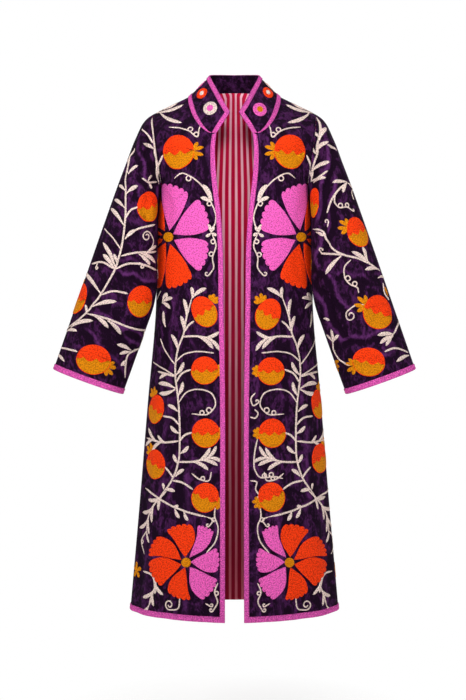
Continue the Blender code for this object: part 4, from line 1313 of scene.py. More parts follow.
# %% The design of a front
UPPER_PETALS = (
    (64, 98, 47, 53, PINK), (8, 54, 39.5, 48, PINK), (-50, -5, 46, 38.5, PINK), (-93, -58, 51, 46, ORANGE),
    (-133, -98, 44, 52, ORANGE), (-178, -138, 42, 44, ORANGE), (103, 140, 50, 46, ORANGE), (145, 177, 44, 42, ORANGE),
)
LOWER_PETALS = (
    (80, 124, 37.4, 37.0, ORANGE), (135, 172, 38.0, 37.4, ORANGE), (178, 228, 37.0, 34.0, ORANGE),
    (-121, -81, 34.2, 37.0, ORANGE), (-69.5, -24, 40.4, 34.4, PINK), (-14, 31.5, 31.6, 33.0, PINK),
    (46, 73.5, 40.6, 38.4, PINK),
)
# Spot, half width and half height in the picture's units, crown's direction or None, tilt, wave, crown's size.
FRUIT = (
    (178, 152, 17.8, 17.3, 0, 0, -1.0, 1.0), (204, 311.5, 12.2, 16.2, 52, 30, -1.0, 0.62),
    (204.5, 370.3, 14.2, 13.8, 0, 0, -1.0, 0.62), (155.5, 409, 12.5, 15.2, 108, -24, -1.0, 0.85),
    (205.7, 433, 14.2, 14.4, 0, 0, -1.0, 0.62), (154.6, 464, 15.2, 14.8, 124, -18, -1.0, 0.85),
    (205.2, 497.5, 13.6, 14.8, -22, -22, -1.0, 0.7),
)
FRUIT_OTHER_SIDE = (
    (179.3, 151.7, 17.8, 17.3, 0, 0, -1.0, 1.0), (207, 314, 12.6, 16.2, 60, 26, -1.0, 0.75),
    (204.4, 371, 14.2, 13.8, 0, 0, -1.0, 0.62), (157.5, 404, 12.5, 15.2, 108, -24, -1.0, 0.85),
    (203.4, 433, 14.2, 14.4, 0, 0, -1.0, 0.62), (155.4, 458, 15.2, 14.8, 124, -18, -1.0, 0.85),
    (203.9, 497, 13.6, 14.8, -22, -22, -1.0, 0.7),
)
# Plain stems.
STEMS = (
    ((192.5, 296), (190.5, 303), (186.5, 317), (183.5, 334), (178.5, 347), (175.8, 361), (175.3, 376), (176.8, 389),
     (178.4, 403), (179.4, 420), (179.7, 440), (178.6, 460), (172.4, 479), (160, 497)),
    ((185, 331), (188.5, 325.5), (194, 321)),
    ((176.4, 382), (182, 373.5), (191, 369.5)),
    ((179.2, 425), (173, 418.5), (163, 416)),
    ((179.6, 441), (185, 435), (192, 432.5)),
    ((173.5, 478), (168.5, 471), (165, 467)),
    ((172.6, 480.5), (183, 483), (193, 489.5)),
    ((145.5, 488), (157.5, 497.5), (171.7, 506), (186, 511.7), (207, 517)),
    ((163, 155), (158.6, 167), (157.5, 183)),
)
# Stems with leaves: spots, then leaves as (share, side, length).
LEAFY = (
    (((182.7, 336.7), (198, 336.4), (212, 339)), ((0.55, -1, 0.9), (0.78, 1, 0.7), (0.86, -1, 0.8))),
    (((178.8, 462), (194, 461.6), (211, 457)),
     ((0.45, -1, 0.8), (0.62, 1, 0.8), (0.68, -1, 0.8), (0.86, 1, 0.7), (0.92, -1, 0.7))),
    (((179.2, 441), (165, 442.4), (147, 438)), ((0.35, -1, 0.6), (0.45, 1, 0.9), (0.62, -1, 0.9), (0.75, 1, 0.7))),
    (((166.7, 491), (157.8, 500), (151.7, 508.5), (148, 519), (146.6, 531)),
     ((0.16, 1, 0.7), (0.22, -1, 0.8), (0.42, 1, 0.8), (0.5, -1, 0.9), (0.7, 1, 0.8), (0.76, -1, 0.9),
      (0.98, 1, 0.6))),
    (((174.3, 376.4), (167, 374), (158, 371.5)), ((0.35, 1, 0.6),)),
    (((143.5, 571), (151.5, 575), (155.5, 583), (151.5, 596), (149, 606)),
     ((0.35, -1, 0.75), (0.52, 1, 0.6), (0.66, -1, 0.8), (0.72, 1, 0.6), (0.99, -1, 0.6))),
)
# Leaves by themselves: root and tip.
LEAVES = (
    (156.6, 112.4, 183.5, 104.6), (160.5, 112.6, 181.8, 122.6), (157.5, 109.5, 178, 101.5),
    (192, 297.5, 191.2, 287), (192.4, 297.8, 206.4, 288.2), (186.2, 315, 183.4, 299), (184, 331, 180.6, 316),
    (178.2, 351, 171.2, 334.5), (176, 375, 183.8, 362.2), (177.8, 396, 182.8, 382), (177.6, 411.5, 167.8, 405),
    (179.3, 433.5, 170.4, 426), (180, 453.5, 188.6, 446), (178.6, 464, 173.4, 454.4), (175.5, 476.5, 184, 469.5),
    (175.4, 388.4, 158.6, 383.4), (175.2, 389.4, 159.2, 393.4), (166, 299, 166.6, 292.6), (162.2, 302.5, 172.6, 298),
    (162.2, 302.5, 170.4, 308.6), (162.5, 301.5, 166.4, 293), (165.5, 327, 163.6, 311),
    (164.5, 489.8, 175, 491.4), (163.6, 489.4, 162.6, 483), (175, 508.6, 179.5, 518), (184, 511.5, 188, 520.6),
    (172.5, 506.5, 178.6, 505.5), (212, 201, 202.8, 184.6), (210.8, 202.4, 200.6, 197.4),
    (211, 232.6, 207.8, 224.4), (211, 233, 205.6, 236.4), (211.2, 233, 216.4, 236), (211, 232, 213.8, 226),
)
# Tendrils: spots, loops, the end that winds in.
TENDRILS = (
    (((169, 127.2), (180, 128), (189, 131), (197.5, 136.8), (199.4, 128), (195, 117)),
     ((0.33, 0.0052, 1), (0.52, 0.005, 1)), None),
    (((174.4, 178.4), (181, 173.4), (191.5, 177), (202, 186), (211, 202), (216, 218), (212.4, 231)),
     ((0.24, 0.0056, -1), (0.66, 0.0048, -1)), None),
    (((212, 234), (216, 245), (212.5, 258), (213.5, 268), (209, 275)),
     ((0.18, 0.0046, -1), (0.52, 0.0046, -1)), (0.0056, 0.8, -1)),
    (((175, 364.5), (166, 352), (160.6, 338.6)), (), None),
    (((175.8, 361.5), (184, 354.4), (196, 351.6), (214, 353)), (), None),
    (((174.6, 375.6), (164, 369), (153.4, 362)), (), None),
    (((178.4, 403), (187, 392), (200, 389.4), (212, 394), (215.4, 405), (209, 413.4), (191.6, 414)),
     ((0.76, 0.0056, -1), (0.88, 0.0046, -1)), None),
    (((191.8, 473.4), (199, 479), (209, 480.4), (211.4, 472)), ((0.45, 0.004, 1),), None),
    (((207, 517), (213, 520), (209.4, 526)), (), (0.0042, 0.8, -1)),
    (((215.4, 507), (214.6, 516), (218, 527), (215.6, 541), (206.4, 553)), ((0.25, 0.004, -1),), None),
    (((146.6, 531), (141.6, 541), (144.4, 554)), ((0.55, 0.0036, 1),), None),
    (((180, 597), (177.4, 609), (170, 610)), (), (0.0115, 1.25, -1)),
    (((218, 583), (214.6, 592), (217.6, 602), (213, 611)), ((0.4, 0.004, 1),), (0.0046, 0.9, -1)),
    (((205.5, 603.5), (210.5, 606.5)), (), (0.004, 0.8, 1)),
    (((161, 291), (157, 300)), (), None),
)


def swirled(spots, degrees, reach):
    """Spots turned about the middle by an angle that is largest half way out and none at the reach."""
    turn = np.radians(degrees) * np.sin(np.pi * np.clip(np.linalg.norm(spots, axis=1) / reach, 0, 1))
    x, y = spots.T
    return np.stack([x * np.cos(turn) - y * np.sin(turn), x * np.sin(turn) + y * np.cos(turn)], axis=-1)


def stitch_front(work, fruit):
    """One front. The picture's own unit is about 2.2 mm of cloth."""
    unit_size = 0.00221
    other = work["side"] > 0

    def spot(right, down):
        lean = 2 * (234.8 + 3.0 * float(ease((down - 240) / 80)))
        return seen(work, (lean - right, down) if other else (right, down))[0]

    def angle(degrees):
        return 180 - degrees if other else degrees

    def turned(side):
        return -side if other else side

    for petals, (right, down), swirl in ((UPPER_PETALS, (168.5, 237), 0), (LOWER_PETALS, (186.2, 562.5), -9)):
        rosette(work, lambda spots: np.array([spot(right + x, down - y) for x, y in swirled(spots, swirl, 38)]),
                petals, 4.8)
    for right, down, wide, high, crown, tilt, wave, size in fruit:
        pomegranate(work, spot(right, down), wide * unit_size, high * unit_size, angle(crown),
                    turned(tilt), wave, size)
    for spots in STEMS:
        stem(work, [spot(*s) for s in spots])
    for spots, leaves in LEAFY:
        leafy(work, [spot(*s) for s in spots], [(a, turned(b), c) for a, b, c in leaves])
    for x1, y1, x2, y2 in LEAVES:
        slim = 0.6 + 0.4 * float(ease(np.hypot(x2 - x1, y2 - y1) / 16))
        leaf(work, spot(x1, y1), spot(x2, y2), LEAF * slim, 0.08 * turned(1 if (x1 + y1) % 2 < 1 else -1))
    for spots, loops, curl in TENDRILS:
        loops = [(a, b, turned(c)) for a, b, c in loops]
        curl = (curl[0], curl[1], turned(curl[2])) if curl else None
        tendril(work, [spot(*s) for s in spots], loops, curl)
    flower = spot(136.5, 570)
    for degrees in (20, 92, 164, 236, 308):
        way = np.radians(angle(degrees))
        leaf(work, flower, flower + 0.019 * np.array([np.cos(way), np.sin(way)]), 0.0105, 0.0, MUSTARD)


# Curls that only the left front has, beside its front edge.
LEFT_CURLS = (
    (((255.4, 393), (251, 398.6), (253.6, 405.6), (258, 403)), (), (0.0046, 0.8, 1)),
    (((250.2, 417), (255.4, 418), (258, 413), (254.6, 409.6)), (), None),
    (((257.6, 439), (254.8, 452), (255.8, 472), (259.4, 477), (266, 477.6), (273, 476.6), (283, 478.4)),
     ((0.7, 0.0046, 1), (0.82, 0.0046, 1)), None),
    (((250.2, 480.6), (256.6, 482), (255.6, 489), (260, 496)), (), (0.0044, 0.8, -1)),
)

stitch_front(works["front_right"], FRUIT)
stitch_front(works["front_left"], FRUIT_OTHER_SIDE)
for spots, loops, curl in LEFT_CURLS:
    tendril(works["front_left"], seen(works["front_left"], *spots), loops, curl)
print("fronts:", works["front_right"]["count"], works["front_left"]["count"], "points")

# %% [markdown]
# ## Braids
# A braid lies on the cloth along an edge. Its strip is measured on the panel: one direction follows the edge,
# and the other goes in from it by the braid's width. Two strips that meet at a corner are cut along the line
# that halves the corner. Across, a braid is two soft rolls side by side; along it, the rolls swell at each
# loop, and the edge reaches a little over the rim of the cloth.

# %% Strips of braid
ROLL_SHARE = np.array([-0.045, 0.0, 0.08, 0.24, 0.4, 0.5, 0.6, 0.76, 0.92, 1.0])
ROLL_RISE = np.array([-0.6, 0.35, 0.8, 1.0, 0.88, 0.7, 0.88, 1.0, 0.8, -0.15])
BRAID_RISE, LOOP_STEP, LOOP_LENGTH = 0.0018, 0.00125, 0.0048


def beside(points, normals, width):
    """Points and directions beside a grid's first column: in each row, at the roll's shares of a width, which
    is one number or one for each row. A share below 0 goes on straight past the edge."""
    values = np.concatenate([points, normals], axis=-1)
    run = run_lengths(points)
    width = np.broadcast_to(width, len(points))
    found = np.stack([sampled(ROLL_SHARE * width[i], run[i], values[i]) for i in range(len(points))])
    past = unit(points[:, 0] - points[:, 1])
    found[:, 0, :3] += past * (-ROLL_SHARE[0] * width)[:, None]
    return found, width


def strip(band, width, start=0.0, stop=0.0, closed=False, height=BRAID_RISE):
    """One length of braid. The band is sampled again in even short steps. It begins by start, and ends by stop,
    later and sooner for each unit across: 1 cuts the end at 45 degrees and 0 straight."""
    if closed:
        band, width = np.concatenate([band, band[:1]]), np.append(width, width[0])
    run = path_run(band[:, 4, :3])
    count = int(run[-1] / LOOP_STEP)
    inset = np.clip(ROLL_SHARE, 0, 1) * width.mean()
    rows, breadth = [], []
    for k, share in enumerate(ROLL_SHARE):
        at = np.linspace(start * inset[k], run[-1] - stop * inset[k], count + 1)
        at = at[:-1] if closed else at
        wide = np.interp(at, run, width)
        values = sampled(at, run, band[:, k])
        swell = 0.8 + 0.2 * np.sin(2 * np.pi * (at / LOOP_LENGTH + 0.9 * abs(share - 0.5)))
        thin = np.clip(wide / 0.008, 0.3, 1)
        rise = GAP + height * ROLL_RISE[k] * (swell if 0 < k < 9 else 1.0) * thin
        rows.append(values[:, :3] + unit(values[:, 3:]) * rise[:, None])
        breadth.append(np.stack([at, share * wide], axis=-1))
    points, flat, across = np.stack(rows, axis=1), np.stack(breadth, axis=1), len(ROLL_SHARE)
    r, c = np.meshgrid(np.arange(len(points) - (not closed)), np.arange(across), indexing="ij")
    s, d = (r + 1) % len(points), (c + 1) % across
    faces = [np.stack([r * across + c, r * across + d, s * across + d, s * across + c], axis=-1).reshape(-1, 4)]
    if not closed:
        faces += [np.arange(across)[None], np.arange(across)[None, ::-1] + (len(points) - 1) * across]
    return points.reshape(-1, 3), flat.reshape(-1, 2), faces


def braid_piece(name, strips, finish, side=1):
    """One mesh from one or more strips."""
    faces, count = [], 0
    for points, _, blocks in strips:
        faces += [block + count for block in blocks]
        count += len(points)
    points = mirrored(np.concatenate([s[0] for s in strips]), side)
    flat = np.concatenate([s[1] for s in strips])
    return mesh_piece(name, points, faces, flat, [np.zeros(len(block)) for block in faces], [finish])


print("a strip is", len(ROLL_SHARE), "points across, with a row each", LOOP_STEP * 1000, "mm")

# %% The braids of the edges, the hem, the cuffs and the collar
braids = {}
for side, name in NAMES.items():
    level, points, normals, _ = front_shape[side]
    rows = slice(0, int(np.argmin(np.abs(level - FRONT_NECK_AT))) + 1)
    edge = strip(*beside(points[rows], normals[rows], EDGE_BRAID), start=HEM_BRAID / EDGE_BRAID)
    turned = points.swapaxes(0, 1), normals.swapaxes(0, 1)
    hem = strip(*beside(*turned, HEM_BRAID), start=EDGE_BRAID / HEM_BRAID)
    braids[f"braid_front_{name}"] = braid_piece(f"braid_edge_{name}", [edge, hem], edge_braid, side)
    points, normals = (values[::-1].swapaxes(0, 1) for values in sleeve_shape[side][:2])
    cuff = strip(*beside(points, normals, HEM_BRAID), closed=True)
    braids[f"braid_cuff_{name}"] = braid_piece(f"braid_sleeve_{name}", [cuff], hem_braid, side)

hem = strip(*beside(*(values.swapaxes(0, 1) for values in whole_back), HEM_BRAID))
braids["braid_hem_back"] = braid_piece("braid_back", [hem], hem_braid)

# Share of the neck seam from the front corner to the centre back; height of the braid on it.
NECK_BRAID = ((0.0, 0.0015), (0.05, 0.0022), (0.12, 0.0062), (0.24, 0.0096), (0.4, 0.0115), (1.0, 0.0115))
middle = (collar_points.shape[1] - 1) // 2
seam_run = run_lengths(collar_points[:1])[0]
share = 1 - np.abs(seam_run - seam_run[middle]) / seam_run[middle]
inside = (seam_run > EDGE_BRAID) & (seam_run < seam_run[-1] - EDGE_BRAID)
upright = collar_points.swapaxes(0, 1), collar_normals.swapaxes(0, 1)
neck = strip(*beside(*(v[inside] for v in upright), smooth(NECK_BRAID, share[inside])[:, 0]), height=0.0015)
braids["braid_neck"] = braid_piece("braid_neck_seam", [neck], edge_braid)
free = strip(*beside(*(v[:, ::-1] for v in upright), EDGE_BRAID), start=0.8, stop=0.8)
fronts = [strip(*beside(points, normals, EDGE_BRAID), stop=0.8) for points, normals in (
    (collar_points, collar_normals), (collar_points[:, ::-1], collar_normals[:, ::-1]))]
braids["braid_collar"] = braid_piece("braid_collar_edge", [free, *fronts], edge_braid)
for node, made in braids.items():
    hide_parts(node)
    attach(made, "root")
print({name: len(o.data.polygons) for name, o in braids.items()})

# %% [markdown]
# ## The sleeves
# The two sleeves are stitched differently. Each has a long leafy stem or branch, fruit near the cuff, and thin
# curls. The picture shows their fronts. Their hidden sides carry the same kinds of motif, drawn on a chart
# that is cut open along the front instead.

# %% The right sleeve's design
FRUIT_UNIT = 0.00222
RIGHT_SLEEVE_FRUIT = (
    (150, 206.8, 14.0, 15.2, None, 8, -1.0, 1.0),
    (141.3, 301.4, 14.4, 15.8, None, -6, -1.0, 1.0),
    (79.0, 298.5, 13.5, 16.0, 110, -20, -1.0, 1.0), (93.4, 359.4, 17.6, 14.8, -30, -8, -1.0, 0.88),
)
RIGHT_SLEEVE_STEMS = (
    ((131, 155), (127, 170), (125.6, 186), (125.6, 207), (124.4, 227), (121, 249), (115, 269), (101, 294), (86, 313),
     (77, 321), (66, 331)),
    ((153, 116), (153.6, 134), (155.6, 156), (158.8, 184)),
    ((125.4, 218), (131.4, 209.6), (140.5, 206.4)),
    ((125, 238), (137, 229.4), (155, 224.4)),
    ((121, 256), (134, 253), (157, 252.6)),
    ((115.6, 269), (128, 263.8), (140, 264), (157, 271)),
    ((113.7, 268.7), (104, 262.6), (92, 264)),
    ((102, 294.6), (113, 291.2), (128, 293.6)),
    ((87, 313.6), (108, 319), (128, 327), (146.6, 330)),
    ((145, 331), (141, 344), (128, 355), (125.4, 368), (125, 378)),
    ((61, 348), (69, 349.4), (77.5, 351.6)),
    ((160, 160), (156.6, 169), (158.6, 181)),
    ((142, 178), (147, 181.6), (157, 182)),
)
RIGHT_SLEEVE_LEAVES = (
    (127.5, 173, 134.8, 148), (128.2, 174, 138, 165.6), (126.4, 193.4, 138, 185.6), (125.4, 191, 119, 185.4),
    (124.6, 208, 114.6, 199.6), (123.6, 225, 111, 208.4), (125, 239, 136, 229.6), (115.4, 267.4, 103, 242.6),
    (114, 268.4, 103, 254.4), (116.6, 263, 113.6, 254), (139, 254, 150, 265), (141, 253, 155.4, 263),
    (146, 252.6, 157, 247), (101.4, 294.6, 86, 273), (92.6, 306.4, 116.6, 301.6), (86, 314, 85.2, 304.6),
    (94.6, 316, 108.4, 328), (107.6, 320.4, 121, 334.4), (131, 350.6, 117, 344.4), (130.6, 352, 119.6, 354),
    (126.4, 360, 121, 366), (71, 327.4, 93, 320.6), (67, 331.4, 77, 331), (58, 355, 64.6, 361.4),
    (153.8, 139, 157, 123.6), (153.6, 149, 143.6, 143.4), (155.8, 153, 158.4, 140.6), (148, 181.8, 151.8, 188.6),
    (148, 181.4, 152, 175.4), (128.8, 165, 125, 158),
)
RIGHT_SLEEVE_TENDRILS = (
    (((120.6, 249), (113, 238), (104.6, 228.6)), (), None),
    (((152.8, 143), (148, 135), (142, 129)), (), None),
    (((142.6, 255.6), (150, 250), (153.6, 241), (150, 233)), (), (0.0118, 1.3, 1)),
    (((139, 262.4), (143, 264.6)), (), (0.0048, 1.0, -1)),
    (((157.6, 270), (158.6, 275)), (), (0.005, 0.8, -1)),
    (((98, 262.4), (96, 267)), (), (0.004, 0.9, 1)),
    (((127, 357), (126, 364)), (), (0.0042, 0.9, -1)),
)

# %% The left sleeve's design
LEFT_SLEEVE_FRUIT = (
    (311.6, 206.6, 9.0, 15.0, None, -8, 1.0, 1.0),
    (358.6, 231.6, 13.4, 15.4, 164, 22, -1.0, 0.92), (378.2, 312, 16.4, 17.2, 156, -16, -1.0, 1.0),
    (368.8, 361.8, 16.4, 14.2, 196, -8, 1.0, 0.92),
)
LEFT_SLEEVE_STEMS = (
    ((316.4, 117), (320.2, 131), (317, 147), (313.2, 166), (311, 182)),
    ((347, 182.6), (337, 191.6), (330.6, 202), (327, 213)),
    ((311.6, 181), (318.4, 177.4), (328, 170.6)),
    ((313, 229), (322, 231), (327.6, 241), (333, 249), (343, 254.6), (358, 258.4), (371, 264.6), (380, 271)),
    ((321, 253.6), (332, 254), (343, 254.8)),
    ((363.4, 247), (365, 255), (367.6, 260.4)),
    ((384.6, 351.6), (393, 348.4), (408, 352.5)),
    ((393.4, 334), (397, 327), (400.4, 319)),
    ((332.6, 342), (334.6, 352), (341, 361), (350, 365.4)),
    ((383, 283), (384.6, 293), (389, 300)),
)
LEFT_SLEEVE_LEAVES = (
    (319.4, 138.6, 312, 124.4), (319.4, 140, 326.4, 127.6), (316.4, 151.6, 328.4, 141.6), (315.4, 154, 311, 143),
    (312, 171, 330.4, 161.6), (311.6, 177, 308.4, 165), (313.5, 182.5, 326, 177.5), (337, 150.6, 327, 145),
    (347, 182.4, 332.6, 182.6), (346.6, 183.6, 343, 192.4),
    (347.6, 183, 352, 188), (341.4, 256, 325.6, 274.4), (370, 264, 351.6, 251.6), (366.8, 258, 362.4, 247),
    (379, 269.6, 365, 269.8), (377.8, 278, 384, 278), (393.6, 334.6, 377.6, 335.4), (393, 335.6, 380, 343.6),
    (393.2, 336, 386, 346), (409, 355.4, 396.6, 361.8), (332.4, 342.6, 331, 329.4), (333, 342.4, 339, 335),
    (332, 341, 326.6, 335), (323.6, 318.4, 329.4, 320.4), (316, 232, 324, 236),
)
LEFT_SLEEVE_TENDRILS = (
    (((335.4, 194.6), (334.6, 202), (340, 207.6), (346.6, 207), (353, 211)),
     ((0.5, 0.0048, 1), (0.76, 0.0046, 1)), (0.0028, 0.9, 1)),
    (((351, 259.8), (345, 266), (344.6, 277), (350.6, 284.6), (357.6, 288), (358.6, 293)),
     ((0.56, 0.0056, 1), (0.8, 0.005, 1)), None),
    (((364, 304.6), (355, 305.6), (347.6, 311)), (), (0.0125, 1.2, 1)),
    (((327.4, 227), (328.4, 222)), (), (0.005, 0.8, 1)),
    (((322, 254), (319.6, 250.6)), (), (0.0048, 0.8, -1)),
    (((353.8, 200), (352, 194), (353.6, 188)), (), None),
)


def stitch_from_tables(work, fruit, stems, leaves, tendrils):
    """A whole design given in spots of the picture."""
    for right, down, wide, high, crown, tilt, wave, size in fruit:
        pomegranate(work, seen(work, (right, down))[0], wide * FRUIT_UNIT, high * FRUIT_UNIT, crown, tilt, wave, size)
    for spots in stems:
        stem(work, seen(work, *spots))
    for x1, y1, x2, y2 in leaves:
        ends = seen(work, (x1, y1), (x2, y2))
        slim = 0.62 + 0.38 * float(ease(np.hypot(x2 - x1, y2 - y1) / 20))
        leaf(work, *ends, LEAF * slim, 0.07 if x2 > x1 else -0.07)
    for spots, loops, curl in tendrils:
        tendril(work, seen(work, *spots), loops, curl)


stitch_from_tables(works["sleeve_right"], RIGHT_SLEEVE_FRUIT, RIGHT_SLEEVE_STEMS, RIGHT_SLEEVE_LEAVES,
                   RIGHT_SLEEVE_TENDRILS)
stitch_from_tables(works["sleeve_left"], LEFT_SLEEVE_FRUIT, LEFT_SLEEVE_STEMS, LEFT_SLEEVE_LEAVES,
                   LEFT_SLEEVE_TENDRILS)
for x1, y1, x2, y2 in ((333, 364, 338.6, 360.6), (333, 366, 339.4, 366.4), (334, 368, 338.8, 371.4),
                       (388, 296, 384.6, 286.6)):
    leaf(works["sleeve_left"], *seen(works["sleeve_left"], (x1, y1), (x2, y2)), 0.0098, 0.0, MUSTARD)
print("sleeves:", works["sleeve_right"]["count"], works["sleeve_left"]["count"], "points")

# %% [markdown]
# ## The collar, the back and the hidden sides
# Round the collar run circles, each in two colours. The first two on each side are seen in the picture. The
# back isn't seen, so its design is the fronts' own kind: a large rosette above, another near the hem, and a
# leafy vine with fruit on each side of the middle. It is given in metres from the centre back and in height.

# %% Circles on the collar
def circle(work, centre, wide, high, outer, inner, turn=0.0, heart=0.45):
    filled(work, oval(centre, wide, high, turn, 34), centre, outer, 0.0012)
    filled(work, oval(centre, wide * heart, high * heart, turn, 24), centre, inner, 0.0019)


CIRCLE_UNIT = 0.00226
for name, spots in (
    ("right", (((202, 93.4), 5.0, 6.6, ORANGE, CREAM, -26, 0.42), ((210.2, 108.2), 6.9, 7.5, CREAM, PINK, 0, 0.48))),
    ("left", (((268, 92.6), 5.0, 6.6, ORANGE, CREAM, 26, 0.42), ((259.8, 109.4), 6.9, 7.5, PINK, MUSTARD, 0, 0.46))),
):
    work = works[f"collar_{name}"]
    for spot, wide, high, outer, inner, turn, heart in spots:
        circle(work, seen(work, spot)[0], wide * CIRCLE_UNIT, high * CIRCLE_UNIT, outer, inner, turn, heart)

# A chart for the rest of the collar: across is measured along the seam from the centre back, and along it is
# the height over the seam.
rise_run = run_lengths(collar_points.swapaxes(0, 1))
tall = rise_run[:, -1]
heights = np.arange(0, tall.max() + CHART_STEP, CHART_STEP)
values = np.concatenate([collar_points, collar_normals], axis=-1).swapaxes(0, 1)
columns = np.stack([sampled(heights, rise_run[j], values[j]) for j in range(len(values))])
widths = np.arange(seam_run[0], seam_run[-1], CHART_STEP)
even = np.stack([sampled(widths, seam_run, columns[:, i]) for i in range(len(heights))])
works["collar"] = new_work({"values": even, "low": np.array([-seam_run[middle], 0.0]),
                            "along": np.array([0.0, 0, 1]), "across": np.array([1.0, 0, 0])}, 1)
for k, (place, outer, inner) in enumerate((
    (0.0, PINK, CREAM), (-0.046, ORANGE, CREAM), (0.046, CREAM, PINK), (-0.092, CREAM, PINK), (0.092, ORANGE, MUSTARD),
    (-0.136, PINK, MUSTARD), (0.136, CREAM, ORANGE),
)):
    tall_here = float(np.interp(place, seam_run - seam_run[middle], tall))
    circle(works["collar"], np.array([place, 0.003 + tall_here * 0.49]), 0.0142, 0.0152, outer, inner, 0, 0.46)
print("collar:", works["collar"]["count"], "points; height at the centre back", round(float(tall[middle]), 3))

# %% The back
BACK_UPPER = (
    (66, 112, 0.098, 0.104, PINK), (20, 62, 0.112, 0.102, PINK), (-26, 14, 0.1, 0.108, ORANGE),
    (-68, -32, 0.106, 0.1, ORANGE), (-112, -74, 0.1, 0.106, ORANGE), (-154, -118, 0.1, 0.108, PINK),
    (160, 204, 0.104, 0.098, PINK), (118, 156, 0.104, 0.112, ORANGE),
)
BACK_LOWER = (
    (62, 108, 0.084, 0.088, ORANGE), (20, 56, 0.09, 0.084, PINK), (-24, 14, 0.082, 0.088, PINK),
    (-64, -30, 0.088, 0.08, PINK), (-112, -70, 0.082, 0.086, ORANGE), (-152, -118, 0.08, 0.088, ORANGE),
    (164, 202, 0.086, 0.08, ORANGE), (116, 158, 0.084, 0.09, ORANGE),
)
back = works["back"]
for (right, up), petals in (((0.0, -0.265), BACK_UPPER), ((0.004, -1.005), BACK_LOWER), ((-0.19, -0.968), BACK_LOWER),
                            ((0.192, -0.974), BACK_LOWER)):
    small = 1.0 if right < 0.1 and right > -0.1 else 0.8
    rosette(back, lambda spots: spots * small + np.array([right, up]), petals, 0.0105 / small)
for side in (-1, 1):
    shift = 0.004 if side > 0 else 0.0

    def there(*spots):
        return [(side * x, z + shift) for x, z in spots]

    leafy(back, there((0.016, -0.4), (0.06, -0.46), (0.086, -0.55), (0.088, -0.66), (0.074, -0.77), (0.082, -0.88)),
          [(0.06, side, 1.1), (0.12, -side, 0.9), (0.24, -side, 1.1), (0.3, side, 1.0), (0.42, -side, 1.1),
           (0.5, side, 0.9), (0.62, -side, 1.0), (0.7, side, 1.1), (0.82, -side, 1.1),
           (0.9, side, 0.9), (1.0, side, 0.7)])
    leafy(back, there((0.158, -0.36), (0.172, -0.44), (0.164, -0.54), (0.176, -0.64), (0.196, -0.74), (0.208, -0.85)),
          [(0.02, -side, 0.9), (0.14, side, 0.9), (0.24, -side, 1.0), (0.36, side, 0.8), (0.5, -side, 1.0),
           (0.58, side, 0.9), (0.72, -side, 0.9), (0.84, side, 0.9), (0.92, -side, 1.1)])
    for x, z, wide, high, crown, tilt, wave in (
        (0.03, -0.545, 0.03, 0.033, 100, 12, -1), (0.128, -0.495, 0.029, 0.032, 60, -14, 1),
        (0.034, -0.7, 0.031, 0.031, 96, -10, 1), (0.134, -0.655, 0.03, 0.034, 74, 16, -1),
        (0.142, -0.79, 0.03, 0.031, 110, -12, 1), (0.204, -0.575, 0.019, 0.024, 84, 10, -1),
        (0.226, -0.76, 0.019, 0.024, 100, -8, 1), (0.122, -0.115, 0.033, 0.031, 150, 8, -1),
        (0.098, -0.925, 0.026, 0.027, 120, 8, -1),
    ):
        way = crown if side > 0 else 180 - crown
        pomegranate(back, (side * x, z - shift * 2), wide, high, way, tilt * side, wave)
    for line in (
        ((0.087, -0.58), (0.072, -0.574), (0.058, -0.556)),
        ((0.08, -0.73), (0.07, -0.728), (0.062, -0.714)),
        ((0.171, -0.455), (0.16, -0.478), (0.152, -0.487)),
        ((0.168, -0.59), (0.16, -0.628), (0.152, -0.64)),
        ((0.188, -0.715), (0.176, -0.76), (0.166, -0.777)),
        ((0.176, -0.65), (0.19, -0.625), (0.2, -0.598)),
        ((0.203, -0.8), (0.216, -0.795), (0.224, -0.78)),
    ):
        stem(back, there(*line))
    leafy(back, there((0.128, -0.2), (0.16, -0.255), (0.176, -0.31), (0.19, -0.335)),
          [(0.25, side, 0.8), (0.35, -side, 0.9), (0.6, side, 0.8), (0.75, -side, 0.9)])
    leafy(back, there((0.052, -0.075), (0.03, -0.1), (0.024, -0.135)),
          [(0.3, side, 0.7), (0.5, -side, 0.8), (0.9, side, 0.6)])
    tendril(back, there((0.17, -0.115), (0.168, -0.15), (0.15, -0.168), (0.128, -0.162)),
            ((0.4, 0.0046, side),), (0.009, 1.2, side))
    tendril(back, there((0.112, -0.36), (0.1, -0.4), (0.104, -0.44)),
            ((0.4, 0.0046, -side), (0.7, 0.0044, side)), (0.008, 1.1, side))
    tendril(back, there((0.12, -1.1), (0.128, -1.135), (0.15, -1.15)), ((0.5, 0.0046, side),), (0.01, 1.2, side))
    leafy(back, there((0.12, -1.15), (0.11, -1.1), (0.118, -1.04)),
          [(0.2, side, 0.8), (0.4, -side, 0.8), (0.7, side, 0.7)])
print("back:", back["count"], "points")

